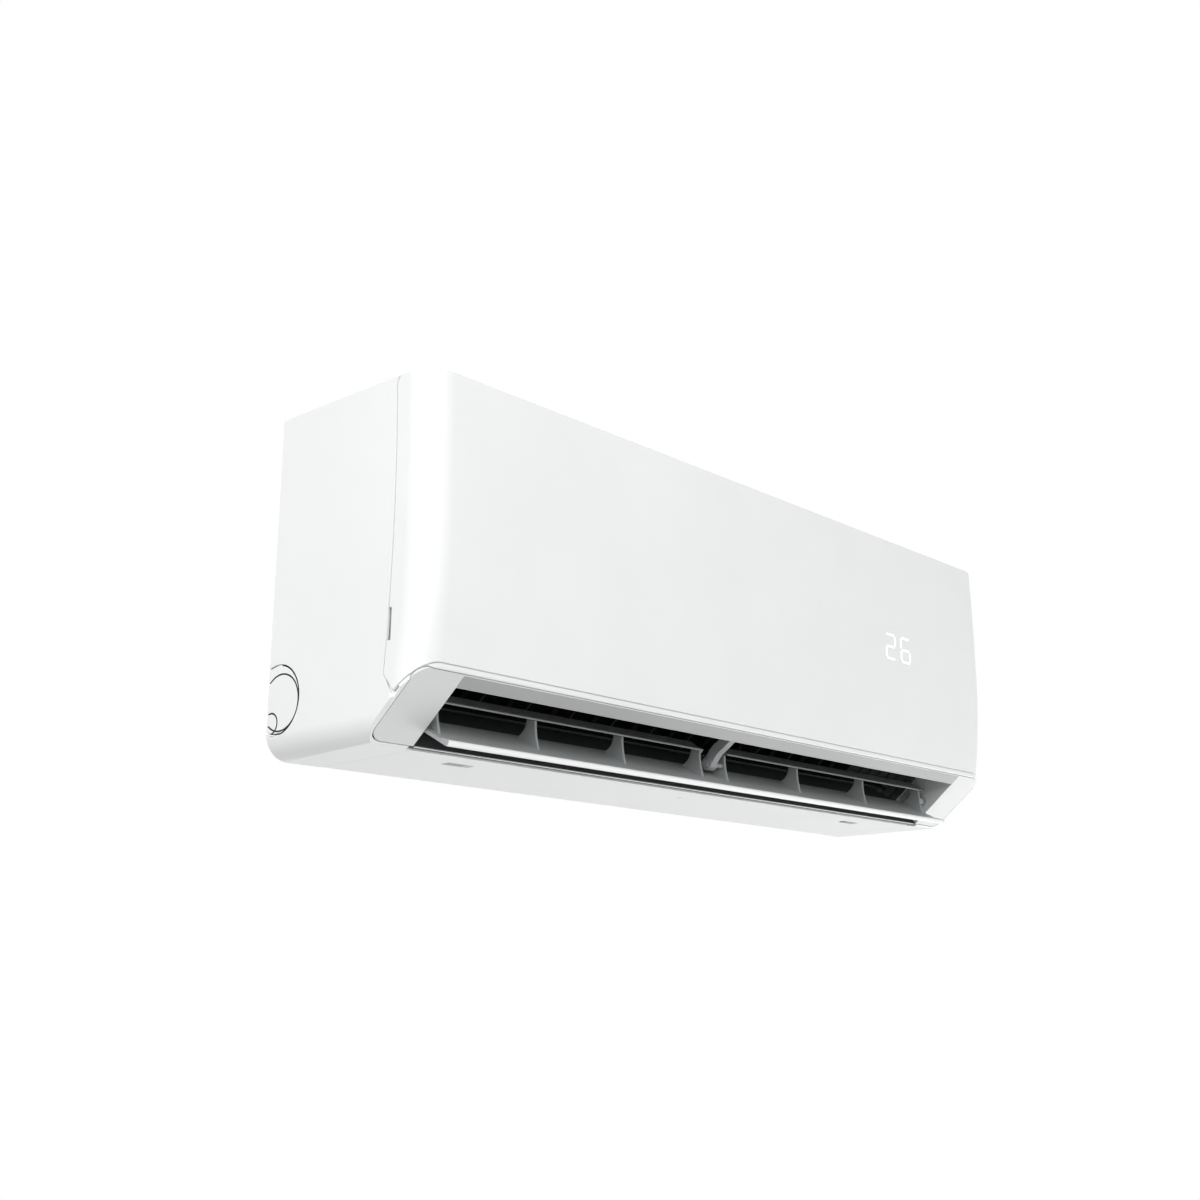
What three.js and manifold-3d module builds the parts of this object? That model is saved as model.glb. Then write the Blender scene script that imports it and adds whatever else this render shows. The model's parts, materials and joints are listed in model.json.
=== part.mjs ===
// A wall-hung indoor unit of a split air conditioner, as an assembly of its real pieces.
// Millimetres. x runs to the right as seen from the front, y towards the wall, z up.
// Sizes below use x, the depth in front of the wall, and the height above the unit's underside.
import * as THREE from 'three';
import { mergeVertices } from 'three/addons/utils/BufferGeometryUtils.js';
import Module from 'manifold-3d';

const wasm = await Module();
wasm.setup();

// ---------------------------------------------------------------- driving dimensions: the body
const UNIT_WIDTH = 850;
const UNIT_HEIGHT = 295;
const TOP_DEPTH = 190; // front panel's depth at its top edge
const BELLY_DEPTH = 193; // where the panel bulges most
const BELLY_HEIGHT = 165;
const LOWER_EDGE_DEPTH = 185; // where the front meets the slanted air outlet
const OUTLET_EDGE_DEPTH = 122; // where the underside meets the slanted air outlet
const OUTLET_EDGE_HEIGHT = 3;
const OUTLET_ANGLE = 40; // degrees, slant of the air outlet
const PLAN_CORNER_RADIUS = 26;
const BOTTOM_CORNER_RADIUS = 22;
const HALF_WIDTH = UNIT_WIDTH / 2;
const WALL = 2.5; // moulded wall
const SEAM = 0.8; // visible joint line between two covers
const CLEARANCE = 0.35; // gap between pieces that touch
const SNUG = 0.3; // gap between a pin and its bore
const CORNER_STEPS = 4;
const PROFILE_LEVELS = 6;
const ROUND_STEPS = 16; // sides of a round piece
const PLATE_CENTRE_HEIGHT = 150; // wall plate's middle over the underside

// ---------------------------------------------------------------- front panel
const PANEL_AXIS_DEPTH = 162;
const PANEL_AXIS_HEIGHT = UNIT_HEIGHT - 8.5;
const SEAM_BELLY_DEPTH = 153.4;
const SEAM_BELLY_HEIGHT = 190;
const SEAM_CURVE = 0.0003; // 1/mm, how fast the side seam bends back
const SEAM_FOOT_HEIGHT = 52; // where the side seam turns to follow the outlet
const RIM_BAND = 3.2; // white rim of the casing left under the panel
const HINGE_ARM_X = HALF_WIDTH - 125;
const HINGE_ARM_WIDTH = 4;
const HINGE_ARM_RADIUS = 4.5;
const HINGE_PIN_RADIUS = 2.4;
const HINGE_LUG_WIDTH = 3.5;
const HINGE_LUG_RADIUS = 5;
const GUTTER_START = 146; // degrees round the hinge line, where the gutter behind it begins and ends
const GUTTER_END = 288;
const FINGER_TAB_LOW = 78;
const FINGER_TAB_HIGH = 104;
const FINGER_TAB_DEPTH = 4.5;
const SCOOP_WIDTH = 4.5; // finger recess behind the panel's lower corner, at the outlet
const SCOOP_TIP = 6; // how far its tip runs on past that corner
const SCOOP_DEPTH = 2.8;

// ---------------------------------------------------------------- casing
const FRAME_FRONT = 166; // front face of the frame behind the panel
const FRAME_TOP_HEIGHT = UNIT_HEIGHT - 23;
const FRAME_FOOT = 67.5;
const LEDGE_THICKNESS = 1.6; // sheet from the outlet's rim back to the frame
const SIDE_STEP_DEPTH = 140; // where the casing's side steps in behind the panel
const SIDE_STEP_WIDTH = 3;
const WINDOW_LOW = 85;
const WINDOW_HIGH = UNIT_HEIGHT - 39;
const WINDOW_OUTER = HALF_WIDTH - 37;
const WINDOW_INNER = 16;
const WINDOW_RIGHT = HALF_WIDTH - 113;
const WINDOW_BAR = 8; // upright bar across each window's middle
const GRILLE_OUTER = HALF_WIDTH - 33;
const GRILLE_REAR = 22;
const GRILLE_FRONT = 140;
const GRILLE_LEDGE = 5;
const GRILLE_LEDGE_THICKNESS = 2;
const OUTLET_RIM = 2.2; // white rim over the grey outlet frame
const OUTLET_SIDE_RIM = 6; // and beside it
const OUTLET_FRAME_RADIUS = 13;
const KNOCKOUT_DEPTH = 12;
const KNOCKOUT_HEIGHT = 48;
const KNOCKOUT_RADIUS = 30;
const KNOCKOUT_GROOVE = 0.8;
const KNOCKOUT_INNER_RADIUS = 23;
const KNOCKOUT_INNER_SHIFT = 5;
const DRAIN_KNOCKOUT_DEPTH = 5;
const DRAIN_KNOCKOUT_HEIGHT = 29;
const DRAIN_KNOCKOUT_RADIUS = 8;

// ---------------------------------------------------------------- top inlet grille
const GRILLE_COLUMNS = 34;
const GRILLE_ROWS = 2;
const GRILLE_SLOT_WIDTH = 15;
const GRILLE_BORDER = 7;
const GRILLE_CROSSBAR = 6;
const GRILLE_THICKNESS = 2.2;

// ---------------------------------------------------------------- air outlet and duct
const OUTLET_HALF_WIDTH = HALF_WIDTH - 52;
const OUTLET_LIP = 13.5; // width of the grey strip over the mouth
const OUTLET_FRAME_THICKNESS = 2.2;
const OUTLET_LIP_RETURN = 8; // flange behind the strip
const OUTLET_CHEEK_DEPTH = 36; // grey side walls that carry the louver
const OUTLET_FOOT = 3; // the grey end plates start this far above the lower edge
const DUCT_FLOOR = 2; // air side of the duct floor, over the outlet's lower edge
const DUCT_CEILING = 70;
const DUCT_FLOOR_START = 1.5;
const DUCT_THROAT = 76; // where the right wall leaves the fan
const DUCT_WALL_X = OUTLET_HALF_WIDTH + 3;
const DUCT_RIB_COUNT = 6;
const DUCT_RIB_PITCH = 5;
const DUCT_RIB_HEIGHT = 1.4;
const DUCT_RIB_WIDTH = 1.5;

// ---------------------------------------------------------------- louvers
const LOUVER_AXIS_INSIDE = 12.5; // pivot, measured in from the outlet plane
const LOUVER_AXIS_UP = 26.5; // pivot, measured up the outlet plane
const LOUVER_OPEN_ANGLE = 68; // degrees from closed
const LOUVER_HALF_WIDTH = OUTLET_HALF_WIDTH - 2.5;
const LOUVER_REACH = 37.5; // pivot to front edge
const LOUVER_TAIL = 20.5; // pivot to rear edge
const LOUVER_SKIN = 2.8;
const LOUVER_LIP = 5.6;
const LOUVER_EDGE = 1.5; // rounding of the front lip
const LOUVER_TAIL_LIFT = 1.2;
const SHAFT_STOP = 2; // how far the drive shaft stays clear of the end rib's middle
const LOUVER_RIB_THICKNESS = 2.4;
const LOUVER_RIB_FOOT = 25; // how far a rib's foot reaches forwards on the blade
const LOUVER_RIB_HEEL = 17; // and rearwards
const LOUVER_RIB_WAIST = 6; // its neck behind the pivot
const LOUVER_RIB_HEAD = 13; // its head, under the upper louver
const LOUVER_BOSS_WALL = 2;
const LOUVER_ARM_RIB_LEFT = -30;
const LOUVER_ARM_RIB_RIGHT = 8;
const LOUVER_END_RIB = LOUVER_HALF_WIDTH - 9.5;
const LOUVER_RIBS_LEFT = [111, 221]; // inner ribs, measured from the end rib on their side
const LOUVER_RIBS_RIGHT = [234, 114];
const UPPER_LOUVER_HEIGHT = 11; // over the pivot
const UPPER_LOUVER_FRONT = -1.5;
const UPPER_LOUVER_REAR = -19.5;
const UPPER_LOUVER_THICKNESS = 2;
const UPPER_LOUVER_BEND = 9; // flat front part, turned down at its right end
const UPPER_LEFT_START = 1.5 - LOUVER_HALF_WIDTH;
const UPPER_LEFT_END = -26.4;
const UPPER_RIGHT_START = 11;
const UPPER_RIGHT_END = LOUVER_HALF_WIDTH - 1.5;
const PIVOT_RADIUS = 2.6;
const ARM_X = -11;
const ARM_THICKNESS = 8;
const ARM_WIDTH = 10;
const ARM_BOW = 3; // how far the arm bows inwards
const ARM_TOP_INSIDE = 13.5;
const ARM_FOOT_END = 20;
const ARM_BOSS_RADIUS = 6.2;
const ARM_PIN_HEAD_RADIUS = 3.8;
const ARM_PIN_HEAD_HEIGHT = 1.6;

// ---------------------------------------------------------------- stepper motors
const STEPPER_RADIUS = 14;
const STEPPER_LENGTH = 19;
const STEPPER_OFFSET = 8; // the can's middle lies this far inwards of its shaft
const STEPPER_EAR_REACH = 21;
const STEPPER_EAR_WIDTH = 7;
const STEPPER_EAR_THICKNESS = 1.2;
const STEPPER_BOSS_RADIUS = 4.5;
const STEPPER_BOSS_HEIGHT = 1.5;

// ---------------------------------------------------------------- vertical vanes
const VANE_COUNT = 12;
const VANE_FIRST_X = 31 - OUTLET_HALF_WIDTH;
const VANE_LAST_X = HALF_WIDTH - 162;
const VANE_PITCH = (VANE_LAST_X - VANE_FIRST_X) / (VANE_COUNT - 1);
const VANE_THICKNESS = 1.6;
const VANE_AXIS_INSIDE = 68;
const VANE_FRONT_INSIDE = 49;
const VANE_REAR_INSIDE = 88;
const VANE_TOP = 47;
const VANE_FOOT_GAP = 1.5;
const VANE_HUB_RADIUS = 3.6;
const VANE_HUB_HEIGHT = 18;
const CRANK_THICKNESS = 3;
const VANE_PIN_RADIUS = 2;
const VANE_PIN_LENGTH = 5;
const TIE_RADIUS = 14; // vane axis to tie-rod pin
const TIE_PIN_RADIUS = 1.5;
const TIE_ROD_LOW = 7.2;
const TIE_ROD_THICKNESS = 2.4;
const TIE_ROD_WIDTH = 12;
const TIE_SLOT_SIDE = 0.9; // play beside the pin, taken up by the arc of its travel
const TIE_SLOT_REAR = 4.5; // how far the slots reach inwards of the pins at rest
const TIE_SLOT_FRONT = 1.9;
const TIE_NOTCH_GAP = 1.2;
const VANE_MOTOR_X = OUTLET_HALF_WIDTH - 17;
const FAN_RUNNING_GAP = 5;

// ---------------------------------------------------------------- crossflow fan
const FAN_DEPTH = 84;
const FAN_HEIGHT = 134;
const FAN_RADIUS = 46;
const FAN_LEFT = 10 - DUCT_WALL_X;
const FAN_RIGHT = HALF_WIDTH - 129;
const FAN_BLADES = 14;
const FAN_BAYS = 3;
const FAN_DISC = 2.4;
const FAN_BLADE_INNER = 35;
const FAN_BLADE_THICKNESS = 1.5;
const FAN_BLADE_SWEEP = 16; // degrees between a blade's two edges
const FAN_BLADE_BOW = 2.2;
const FAN_RING_INNER = 31;
const FAN_HUB_RADIUS = 11;
const FAN_HUB_LENGTH = 14;
const SHAFT_RADIUS = 4;
const SHAFT_REACH = 16; // shaft length beyond the fan
const REAR_GAP = 4.5; // fan to the rear tongue
const REAR_TONGUE_ANGLE = 140;
const SCROLL_STEPS = 9;
const BEARING_RADIUS = 13;
const BEARING_WIDTH = 9;

// ---------------------------------------------------------------- fan motor
const MOTOR_RADIUS = 41;
const MOTOR_LEFT = FAN_RIGHT + 16;
const MOTOR_RIGHT = MOTOR_LEFT + 60;
const MOTOR_RIM_RADIUS = 44;
const MOTOR_RIM_WIDTH = 4;
const MOTOR_BOSS_RADIUS = 15;
const MOTOR_BOSS_LENGTH = 6;
const CRADLE_WIDTH = 5;
const CRADLE_THICKNESS = 6;
const CLAMP_THICKNESS = 3;
const CLAMP_WIDTH = 12;
const CLAMP_EAR = 9;
const CLAMP_START = -40; // degrees round the motor
const CLAMP_END = 176;

// ---------------------------------------------------------------- chassis
const BACK_WALL_FRONT = 15;
const PIPE_CHANNEL_ROOF = 64;
const REAR_TROUGH_FLOOR = 168.5;
const REAR_TONGUE_DEPTH = 43;
const REAR_TONGUE_TOP = 176;
const WEB_PLACES = [175 - HALF_WIDTH, 0, HALF_WIDTH - 175];
const WEB_THICKNESS = 3;
const WEB_FOOT = 9;
const WEB_REAR = 45;
const WEB_NOSE = 14; // how far the webs stop short of the outlet's lower edge
const COVER_PIN_DEPTH = 8;
const COVER_PIN_HEIGHT = 5;
const COVER_PIN_RADIUS = 2;
const COVER_PIN_LENGTH = 16;
const COVER_HOOK_RADIUS = 4.4;
const COVER_HOOK_WIDTH = 8;
const SIDE_WALL_TOP = 188;

// ---------------------------------------------------------------- bottom cover and its latches
const COVER_HALF_WIDTH = OUTLET_HALF_WIDTH - 4;
const COVER_FRONT = 118;
const COVER_REAR = 1.6;
const COVER_FLANGE = 4;
const COVER_FLANGE_THICKNESS = 2;
const LATCH_X = COVER_HALF_WIDTH - 74;
const LATCH_DEPTH = 87;
const LATCH_LENGTH = 22;
const LATCH_WIDTH = 10;
const LATCH_TRAVEL = 7;
const LATCH_POCKET = 1.4; // how deep the thumb pocket is
const LATCH_STEM_LENGTH = 8;
const LATCH_STEM_WIDTH = 5;
const LATCH_TONGUE_LENGTH = 7;
const LATCH_TONGUE_THICKNESS = 1.8;
const KEEPER_WEB = 3;
const CENTRE_MARK_RADIUS = 2.5;

// ---------------------------------------------------------------- drain pan
const PAN_FRONT = 161;
const PAN_FRONT_TOP = 108;
const PAN_TONGUE_ANGLE = -30;
const PAN_TONGUE_GAP = 4;
const PAN_TONGUE_RISE = 8; // degrees of the tongue that follow the fan
const PAN_REST_WIDTH = 8;
const PAN_REST_PLACES = [145 - HALF_WIDTH, 0, HALF_WIDTH - 185];
const SPOUT_RADIUS = 9;
const SPOUT_BORE = 7;
const SPOUT_LENGTH = 14;
const SPOUT_RISE = 25;
const PAN_RIGHT = FAN_RIGHT + 30; // the trough runs on under the coil's end
const PAN_STEP_DEPTH = 133.7;

// ---------------------------------------------------------------- heat exchanger
const COIL_LEFT = 8 - DUCT_WALL_X;
const COIL_RIGHT = FAN_RIGHT + 10;
const COIL_THICKNESS = 21;
const COIL_FRONT_LOW = [146.5, 104.5];
const COIL_FRONT_HIGH = [146.5, 190];
const COIL_UPPER_LOW = [140, 198];
const COIL_UPPER_HIGH = [96, UNIT_HEIGHT - 29];
const COIL_REAR_LOW = [27, 174];
const COIL_REAR_HIGH = [76, UNIT_HEIGHT - 33];
const COIL_PLATE = 1.5;
const COIL_PLATE_MARGIN = 0.8;
const BEND_TUBE_RADIUS = 3.5;
const BEND_PITCH = 21;
const BEND_STEPS = 4;
const BEND_SIDES = 5;
const HEADER_RADIUS = 7;
const HEADER_X = COIL_RIGHT + 16;
const HEADER_DEPTH = 56;
const HEADER_LOW = 205;
const HEADER_HIGH = UNIT_HEIGHT - 45;

// ---------------------------------------------------------------- refrigerant pipes
const LIQUID_PIPE_RADIUS = 3.2;
const GAS_PIPE_RADIUS = 4.8;
const PIPE_DROP_X = HEADER_X + 23;
const PIPE_DEPTH = 30;
const LIQUID_PIPE_HEIGHT = 44;
const GAS_PIPE_HEIGHT = 24;
const PIPE_END_X = 40;
const PIPE_BEND_RADIUS = 20;
const STUB_BEND = 6;
const LIQUID_PIPE_SHIFT = -13;
const LIQUID_PIPE_START = 178;
const PIPE_STEPS = 18;
const PIPE_SIDES = 6;

// ---------------------------------------------------------------- filters
const FILTER_THICKNESS = 3;
const FILTER_OUTER = HALF_WIDTH - 29;
const FILTER_INNER = 4.6;
const FILTER_LOW = 78;
const FILTER_HIGH = UNIT_HEIGHT - 33;
const FILTER_BORDER = 7;
const FILTER_COLUMNS = 5;
const FILTER_ROWS = 3;
const FILTER_BAR = 3;
const RAIL_THICKNESS = 2.4;
const RAIL_LIP = 4;

// ---------------------------------------------------------------- electrics
const BOX_RIGHT = HALF_WIDTH - 11;
const BOX_LEFT = BOX_RIGHT - 86;
const BOX_REAR = 66;
const BOX_FRONT = 156;
const BOX_LOW = 184;
const BOX_HIGH = UNIT_HEIGHT - 25;
const BOX_WALL = 2;
const BOX_ARM = 6; // arms that reach back to the chassis
const BOARD_THICKNESS = 1.6;
const BOARD_STANDOFF = 12;
const BOARD_POST_RADIUS = 3;
const BOX_VENTS = 5;
const BOX_VENT_HEIGHT = 6;
const CHIP_SIZE = 16;
const CHIP_HEIGHT = 8;
const TERMINAL_LENGTH = 58;
const TERMINAL_HEIGHT = 20;
const TERMINAL_DEPTH = 16;
const TERMINAL_WAYS = 5;
const DISPLAY_X = HALF_WIDTH - 185;
const DISPLAY_HEIGHT = 176;
const DISPLAY_WIDTH = 74;
const DISPLAY_TALL = 40;
const DISPLAY_THICKNESS = 11;
const DISPLAY_WALL = 1.6;
const DIGIT_WIDTH = 14;
const DIGIT_HEIGHT = 22;
const DIGIT_PITCH = 20;
const BUTTON_X = HALF_WIDTH - 16;
const BUTTON_HEIGHT = 96;
const BUTTON_RADIUS = 5;
const BUTTON_PROUD = 3;
const BUTTON_FLANGE = 7.5;
const SCREW_X = 150;
const SCREW_HEIGHT = 73;
const SCREW_RADIUS = 1.9;
const SCREW_HEAD_RADIUS = 3;
const SCREW_HEAD_HEIGHT = 2;
const SCREW_LENGTH = 6.5;
const SCREW_BOSS_RADIUS = 4;

// ---------------------------------------------------------------- wall plate
const PLATE_WIDTH = 640;
const PLATE_HEIGHT = 170;
const PLATE_THICKNESS = 1.5;
const PLATE_RADIUS = 8;
const PLATE_HOLE_RADIUS = 3;
const PLATE_HOLE_X = [-280, 280];
const PLATE_HOLE_RISE = 66;
const PLATE_SLOT_X = [-215, 215];
const PLATE_SLOT_LENGTH = 70;
const PLATE_SLOT_HEIGHT = 60;
const HOOK_X = [-100, 100];
const HOOK_WIDTH = 40;
const HOOK_REACH = 10.3;
const HOOK_RISE = 11;
const CATCH_MARGIN = 4;

// ---------------------------------------------------------------- helpers: outlines
const MERGE_DISTANCE = 1e-4;
const radians = THREE.MathUtils.degToRad;
const slantCos = Math.cos(radians(OUTLET_ANGLE));
const slantSin = Math.sin(radians(OUTLET_ANGLE));
const underSlope = OUTLET_EDGE_HEIGHT / OUTLET_EDGE_DEPTH;

// A point of the duct, measured inwards from the outlet plane and up along it, as depth and height.
function ductPoint(inside, up) {
  return [
    OUTLET_EDGE_DEPTH - inside * slantSin + up * slantCos,
    OUTLET_EDGE_HEIGHT + inside * slantCos + up * slantSin,
  ];
}

// The same in reverse: a depth and height as distances inwards and up.
function ductPlace(depth, height) {
  const forward = depth - OUTLET_EDGE_DEPTH;
  const rise = height - OUTLET_EDGE_HEIGHT;
  return [rise * slantCos - forward * slantSin, forward * slantCos + rise * slantSin];
}

function arc(centre, radius, from, to, steps) {
  return Array.from({ length: steps + 1 }, (_, i) => {
    const angle = radians(from + ((to - from) * i) / steps);
    return [centre[0] + radius * Math.cos(angle), centre[1] + radius * Math.sin(angle)];
  });
}

function circle(centre, radius, steps) {
  return arc(centre, radius, 0, 360, steps).slice(0, -1);
}

function rectangle(left, right, low, high) {
  return [[left, low], [right, low], [right, high], [left, high]];
}

// A rectangle whose four corners have their own radii: lower left, lower right, upper right, upper left.
function rounded(left, right, low, high, radii, steps = CORNER_STEPS) {
  const [ll, lr, ur, ul] = radii;
  return [
    ...corner([left + ll, low + ll], ll, 180, steps),
    ...corner([right - lr, low + lr], lr, 270, steps),
    ...corner([right - ur, high - ur], ur, 0, steps),
    ...corner([left + ul, high - ul], ul, 90, steps),
  ];
}

function corner(centre, radius, from, steps) {
  return radius > 0 ? arc(centre, radius, from, from + 90, steps) : [centre];
}

// The outline of a sheet of even thickness along a line of points.
function sheet(points, thickness) {
  const half = thickness / 2;
  const side = (sign) => points.map((point, i) => {
    const before = points[Math.max(i - 1, 0)];
    const after = points[Math.min(i + 1, points.length - 1)];
    const first = new THREE.Vector2(point[0] - before[0], point[1] - before[1]).normalize();
    const second = new THREE.Vector2(after[0] - point[0], after[1] - point[1]).normalize();
    const along = first.clone().add(second).normalize();
    const stretch = half / Math.max(along.dot(i ? first : second), 0.3);
    return [point[0] - sign * along.y * stretch, point[1] + sign * along.x * stretch];
  });
  return [...side(1), ...side(-1).reverse()];
}

// Where the line through a and b meets the line through c and d.
function crossing(a, b, c, d) {
  const [ux, uy] = [b[0] - a[0], b[1] - a[1]];
  const [vx, vy] = [d[0] - c[0], d[1] - c[1]];
  const t = ((c[0] - a[0]) * vy - (c[1] - a[1]) * vx) / (ux * vy - uy * vx);
  return [a[0] + t * ux, a[1] + t * uy];
}

// ---------------------------------------------------------------- helpers: solids
// Two outline axes in space; a prism grows along their cross product.
function basis(first, second) {
  const u = new THREE.Vector3(...first);
  const v = new THREE.Vector3(...second);
  return new THREE.Matrix4().makeBasis(u, v, u.clone().cross(v));
}
const SIDE_VIEW = basis([0, -1, 0], [0, 0, 1]); // outline (depth, height)
const FRONT_VIEW = basis([1, 0, 0], [0, 0, 1]); // outline (x, height)
const PLAN_VIEW = basis([1, 0, 0], [0, -1, 0]); // outline (x, depth)

function solid(geometry) {
  const bare = geometry.clone();
  bare.deleteAttribute('normal');
  bare.deleteAttribute('uv');
  const merged = mergeVertices(bare, MERGE_DISTANCE);
  return new wasm.Manifold(new wasm.Mesh({
    numProp: 3,
    vertProperties: new Float32Array(merged.attributes.position.array),
    triVerts: new Uint32Array(merged.index.array),
  }));
}

function geometryOf(body) {
  const { vertProperties, triVerts } = body.getMesh();
  const geometry = new THREE.BufferGeometry();
  geometry.setAttribute('position', new THREE.BufferAttribute(new Float32Array(vertProperties), 3));
  geometry.setIndex(new THREE.BufferAttribute(new Uint32Array(triVerts), 1));
  geometry.computeVertexNormals();
  return geometry;
}

function prism(outline, view, length, origin) {
  const shape = new THREE.Shape(outline.map(([u, v]) => new THREE.Vector2(u, v)));
  const geometry = new THREE.ExtrudeGeometry(shape, { depth: length, bevelEnabled: false });
  geometry.applyMatrix4(view).translate(...origin);
  return solid(geometry);
}

// Prisms across the unit, from back to front, and from top to bottom.
const across = (outline, left, right) => prism(outline, SIDE_VIEW, right - left, [right, 0, 0]);
const forwards = (outline, rear, front) => prism(outline, FRONT_VIEW, front - rear, [0, -rear, 0]);
const downwards = (outline, low, high) => prism(outline, PLAN_VIEW, high - low, [0, 0, high]);

function block(left, right, rear, front, low, high) {
  const geometry = new THREE.BoxGeometry(right - left, front - rear, high - low);
  geometry.translate((left + right) / 2, -(rear + front) / 2, (low + high) / 2);
  return solid(geometry);
}

// A round bar across the unit, from back to front, or upright.
function barAcross(radius, left, right, depth, height, sides = ROUND_STEPS) {
  return across(circle([depth, height], radius, sides), left, right);
}
function barForwards(radius, rear, front, x, height, sides = ROUND_STEPS) {
  return forwards(circle([x, height], radius, sides), rear, front);
}
function barUpright(radius, low, high, x, depth, sides = ROUND_STEPS) {
  return downwards(circle([x, depth], radius, sides), low, high);
}

const join = (...bodies) => bodies.flat().reduce((whole, body) => whole.add(body));
const cut = (body, ...tools) => tools.flat().reduce((whole, tool) => whole.subtract(tool), body);
const common = (...bodies) => bodies.flat().reduce((whole, body) => whole.intersect(body));

// A closed skin through rings of equal length, each ring anticlockwise as seen from the last one.
function loft(rings) {
  const count = rings[0].length;
  const index = [];
  for (let level = 0; level < rings.length - 1; level += 1) {
    for (let i = 0; i < count; i += 1) {
      const here = level * count + i;
      const next = level * count + ((i + 1) % count);
      index.push(here, next, next + count, here, next + count, here + count);
    }
  }
  const top = (rings.length - 1) * count;
  const contour = rings[0].map(([x, y]) => new THREE.Vector2(x, y));
  for (const [a, b, c] of THREE.ShapeUtils.triangulateShape(contour, [])) {
    index.push(a, c, b, top + a, top + b, top + c);
  }
  const geometry = new THREE.BufferGeometry();
  geometry.setAttribute('position', new THREE.Float32BufferAttribute(rings.flat(2), 3));
  geometry.setIndex(index);
  return solid(geometry);
}

// A body made in the duct's own directions (x, inwards, up the outlet plane), set into the unit.
const ductMatrix = new THREE.Matrix4()
  .makeRotationX(radians(90 - OUTLET_ANGLE))
  .setPosition(0, -OUTLET_EDGE_DEPTH, OUTLET_EDGE_HEIGHT);
const intoUnit = (body) => solid(geometryOf(body).applyMatrix4(ductMatrix));
const ductBlock = (left, right, near, far, low, high) => block(left, right, -far, -near, low, high);
const ductPrism = (outline, left, right) => (
  across(outline.map(([inside, up]) => [-inside, up]), left, right)
);
const ductBarAcross = (radius, left, right, inside, up, sides = ROUND_STEPS) => (
  barAcross(radius, left, right, -inside, up, sides)
);
const ductBarUp = (radius, low, high, x, inside, sides = ROUND_STEPS) => (
  barUpright(radius, low, high, x, -inside, sides)
);
// A flat plate in the outlet plane: an outline of x and height up that plane, between two depths inside.
const ductPlate = (outline, near, far) => forwards(outline, -far, -near);

// ---------------------------------------------------------------- materials
const plastic = (color, roughness = 0.45) => (
  new THREE.MeshStandardMaterial({ color, roughness, metalness: 0 })
);
const metal = (color, roughness = 0.35) => (
  new THREE.MeshStandardMaterial({ color, roughness, metalness: 0.9 })
);
const WHITE = 0xf4f5f5;
const LIGHT_GREY = 0xd4d6d6;
const LOUVER_GREY = 0xb2b5b5;
const DARK_GREY = 0x3b3d3e;
const BLACK = 0x1c1d1f;
const STEEL = 0xb9bcc0;
const COPPER = 0xb87345;
const ALUMINIUM = 0xc9cdd2;
const BOARD_GREEN = 0x2d6a45;

function piece(name, body, material) {
  const mesh = new THREE.Mesh(geometryOf(body), material);
  mesh.name = name;
  return mesh;
}

// ---------------------------------------------------------------- the unit's outer form
// Depth of the front at a height: a belly that falls away to the top and to the outlet.
function frontDepth(height) {
  const outletTop = OUTLET_EDGE_HEIGHT + ((LOWER_EDGE_DEPTH - OUTLET_EDGE_DEPTH) * slantSin) / slantCos;
  const above = height > BELLY_HEIGHT;
  const edge = above ? UNIT_HEIGHT : outletTop;
  const fall = BELLY_DEPTH - (above ? TOP_DEPTH : LOWER_EDGE_DEPTH);
  return BELLY_DEPTH - fall * ((height - BELLY_HEIGHT) / (edge - BELLY_HEIGHT)) ** 2;
}

// The plan outline at one height, anticlockwise from above, ending short of the wall line or past it.
function planRing(height, inset, rear) {
  const half = UNIT_WIDTH / 2 - inset;
  const front = frontDepth(height) - inset;
  const radius = Math.max(PLAN_CORNER_RADIUS - inset, SEAM);
  const left = arc([radius - half, radius - front], radius, 180, 270, CORNER_STEPS);
  const right = arc([half - radius, radius - front], radius, 270, 360, CORNER_STEPS);
  return [[half, -rear], [-half, -rear], ...left, ...right].map(([x, y]) => [x, y, height]);
}

// The outer form drawn in by an inset on every side but the wall side.
function form(inset) {
  const rear = inset > 0 ? -1 : 0;
  const low = -WALL;
  const high = UNIT_HEIGHT - inset;
  const rings = Array.from({ length: PROFILE_LEVELS + 1 }, (_, i) => {
    const height = low + ((high - low) * i) / PROFILE_LEVELS;
    return planRing(height, inset, rear);
  });
  const under = (depth) => [depth, underSlope * depth + inset];
  const edge = crossing(under(0), under(1), ductPoint(inset, 0), ductPoint(inset, 1));
  const past = ductPoint(inset, 2 * UNIT_HEIGHT);
  const section = [under(rear), edge, past, [rear, past[1]]];
  const half = UNIT_WIDTH / 2 - inset;
  const radius = BOTTOM_CORNER_RADIUS - inset;
  const end = rounded(-half, half, inset, UNIT_HEIGHT + WALL, [radius, radius, 0, 0]);
  return common(loft(rings), across(section, -UNIT_WIDTH, UNIT_WIDTH), forwards(end, rear, 2 * TOP_DEPTH));
}

const outerForm = form(0);
const shell = cut(outerForm, form(WALL));

// ---------------------------------------------------------------- front panel
const seamDepth = (height) => SEAM_BELLY_DEPTH - SEAM_CURVE * (height - SEAM_BELLY_HEIGHT) ** 2;
const seamRadius = PANEL_AXIS_DEPTH - seamDepth(PANEL_AXIS_HEIGHT);

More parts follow.
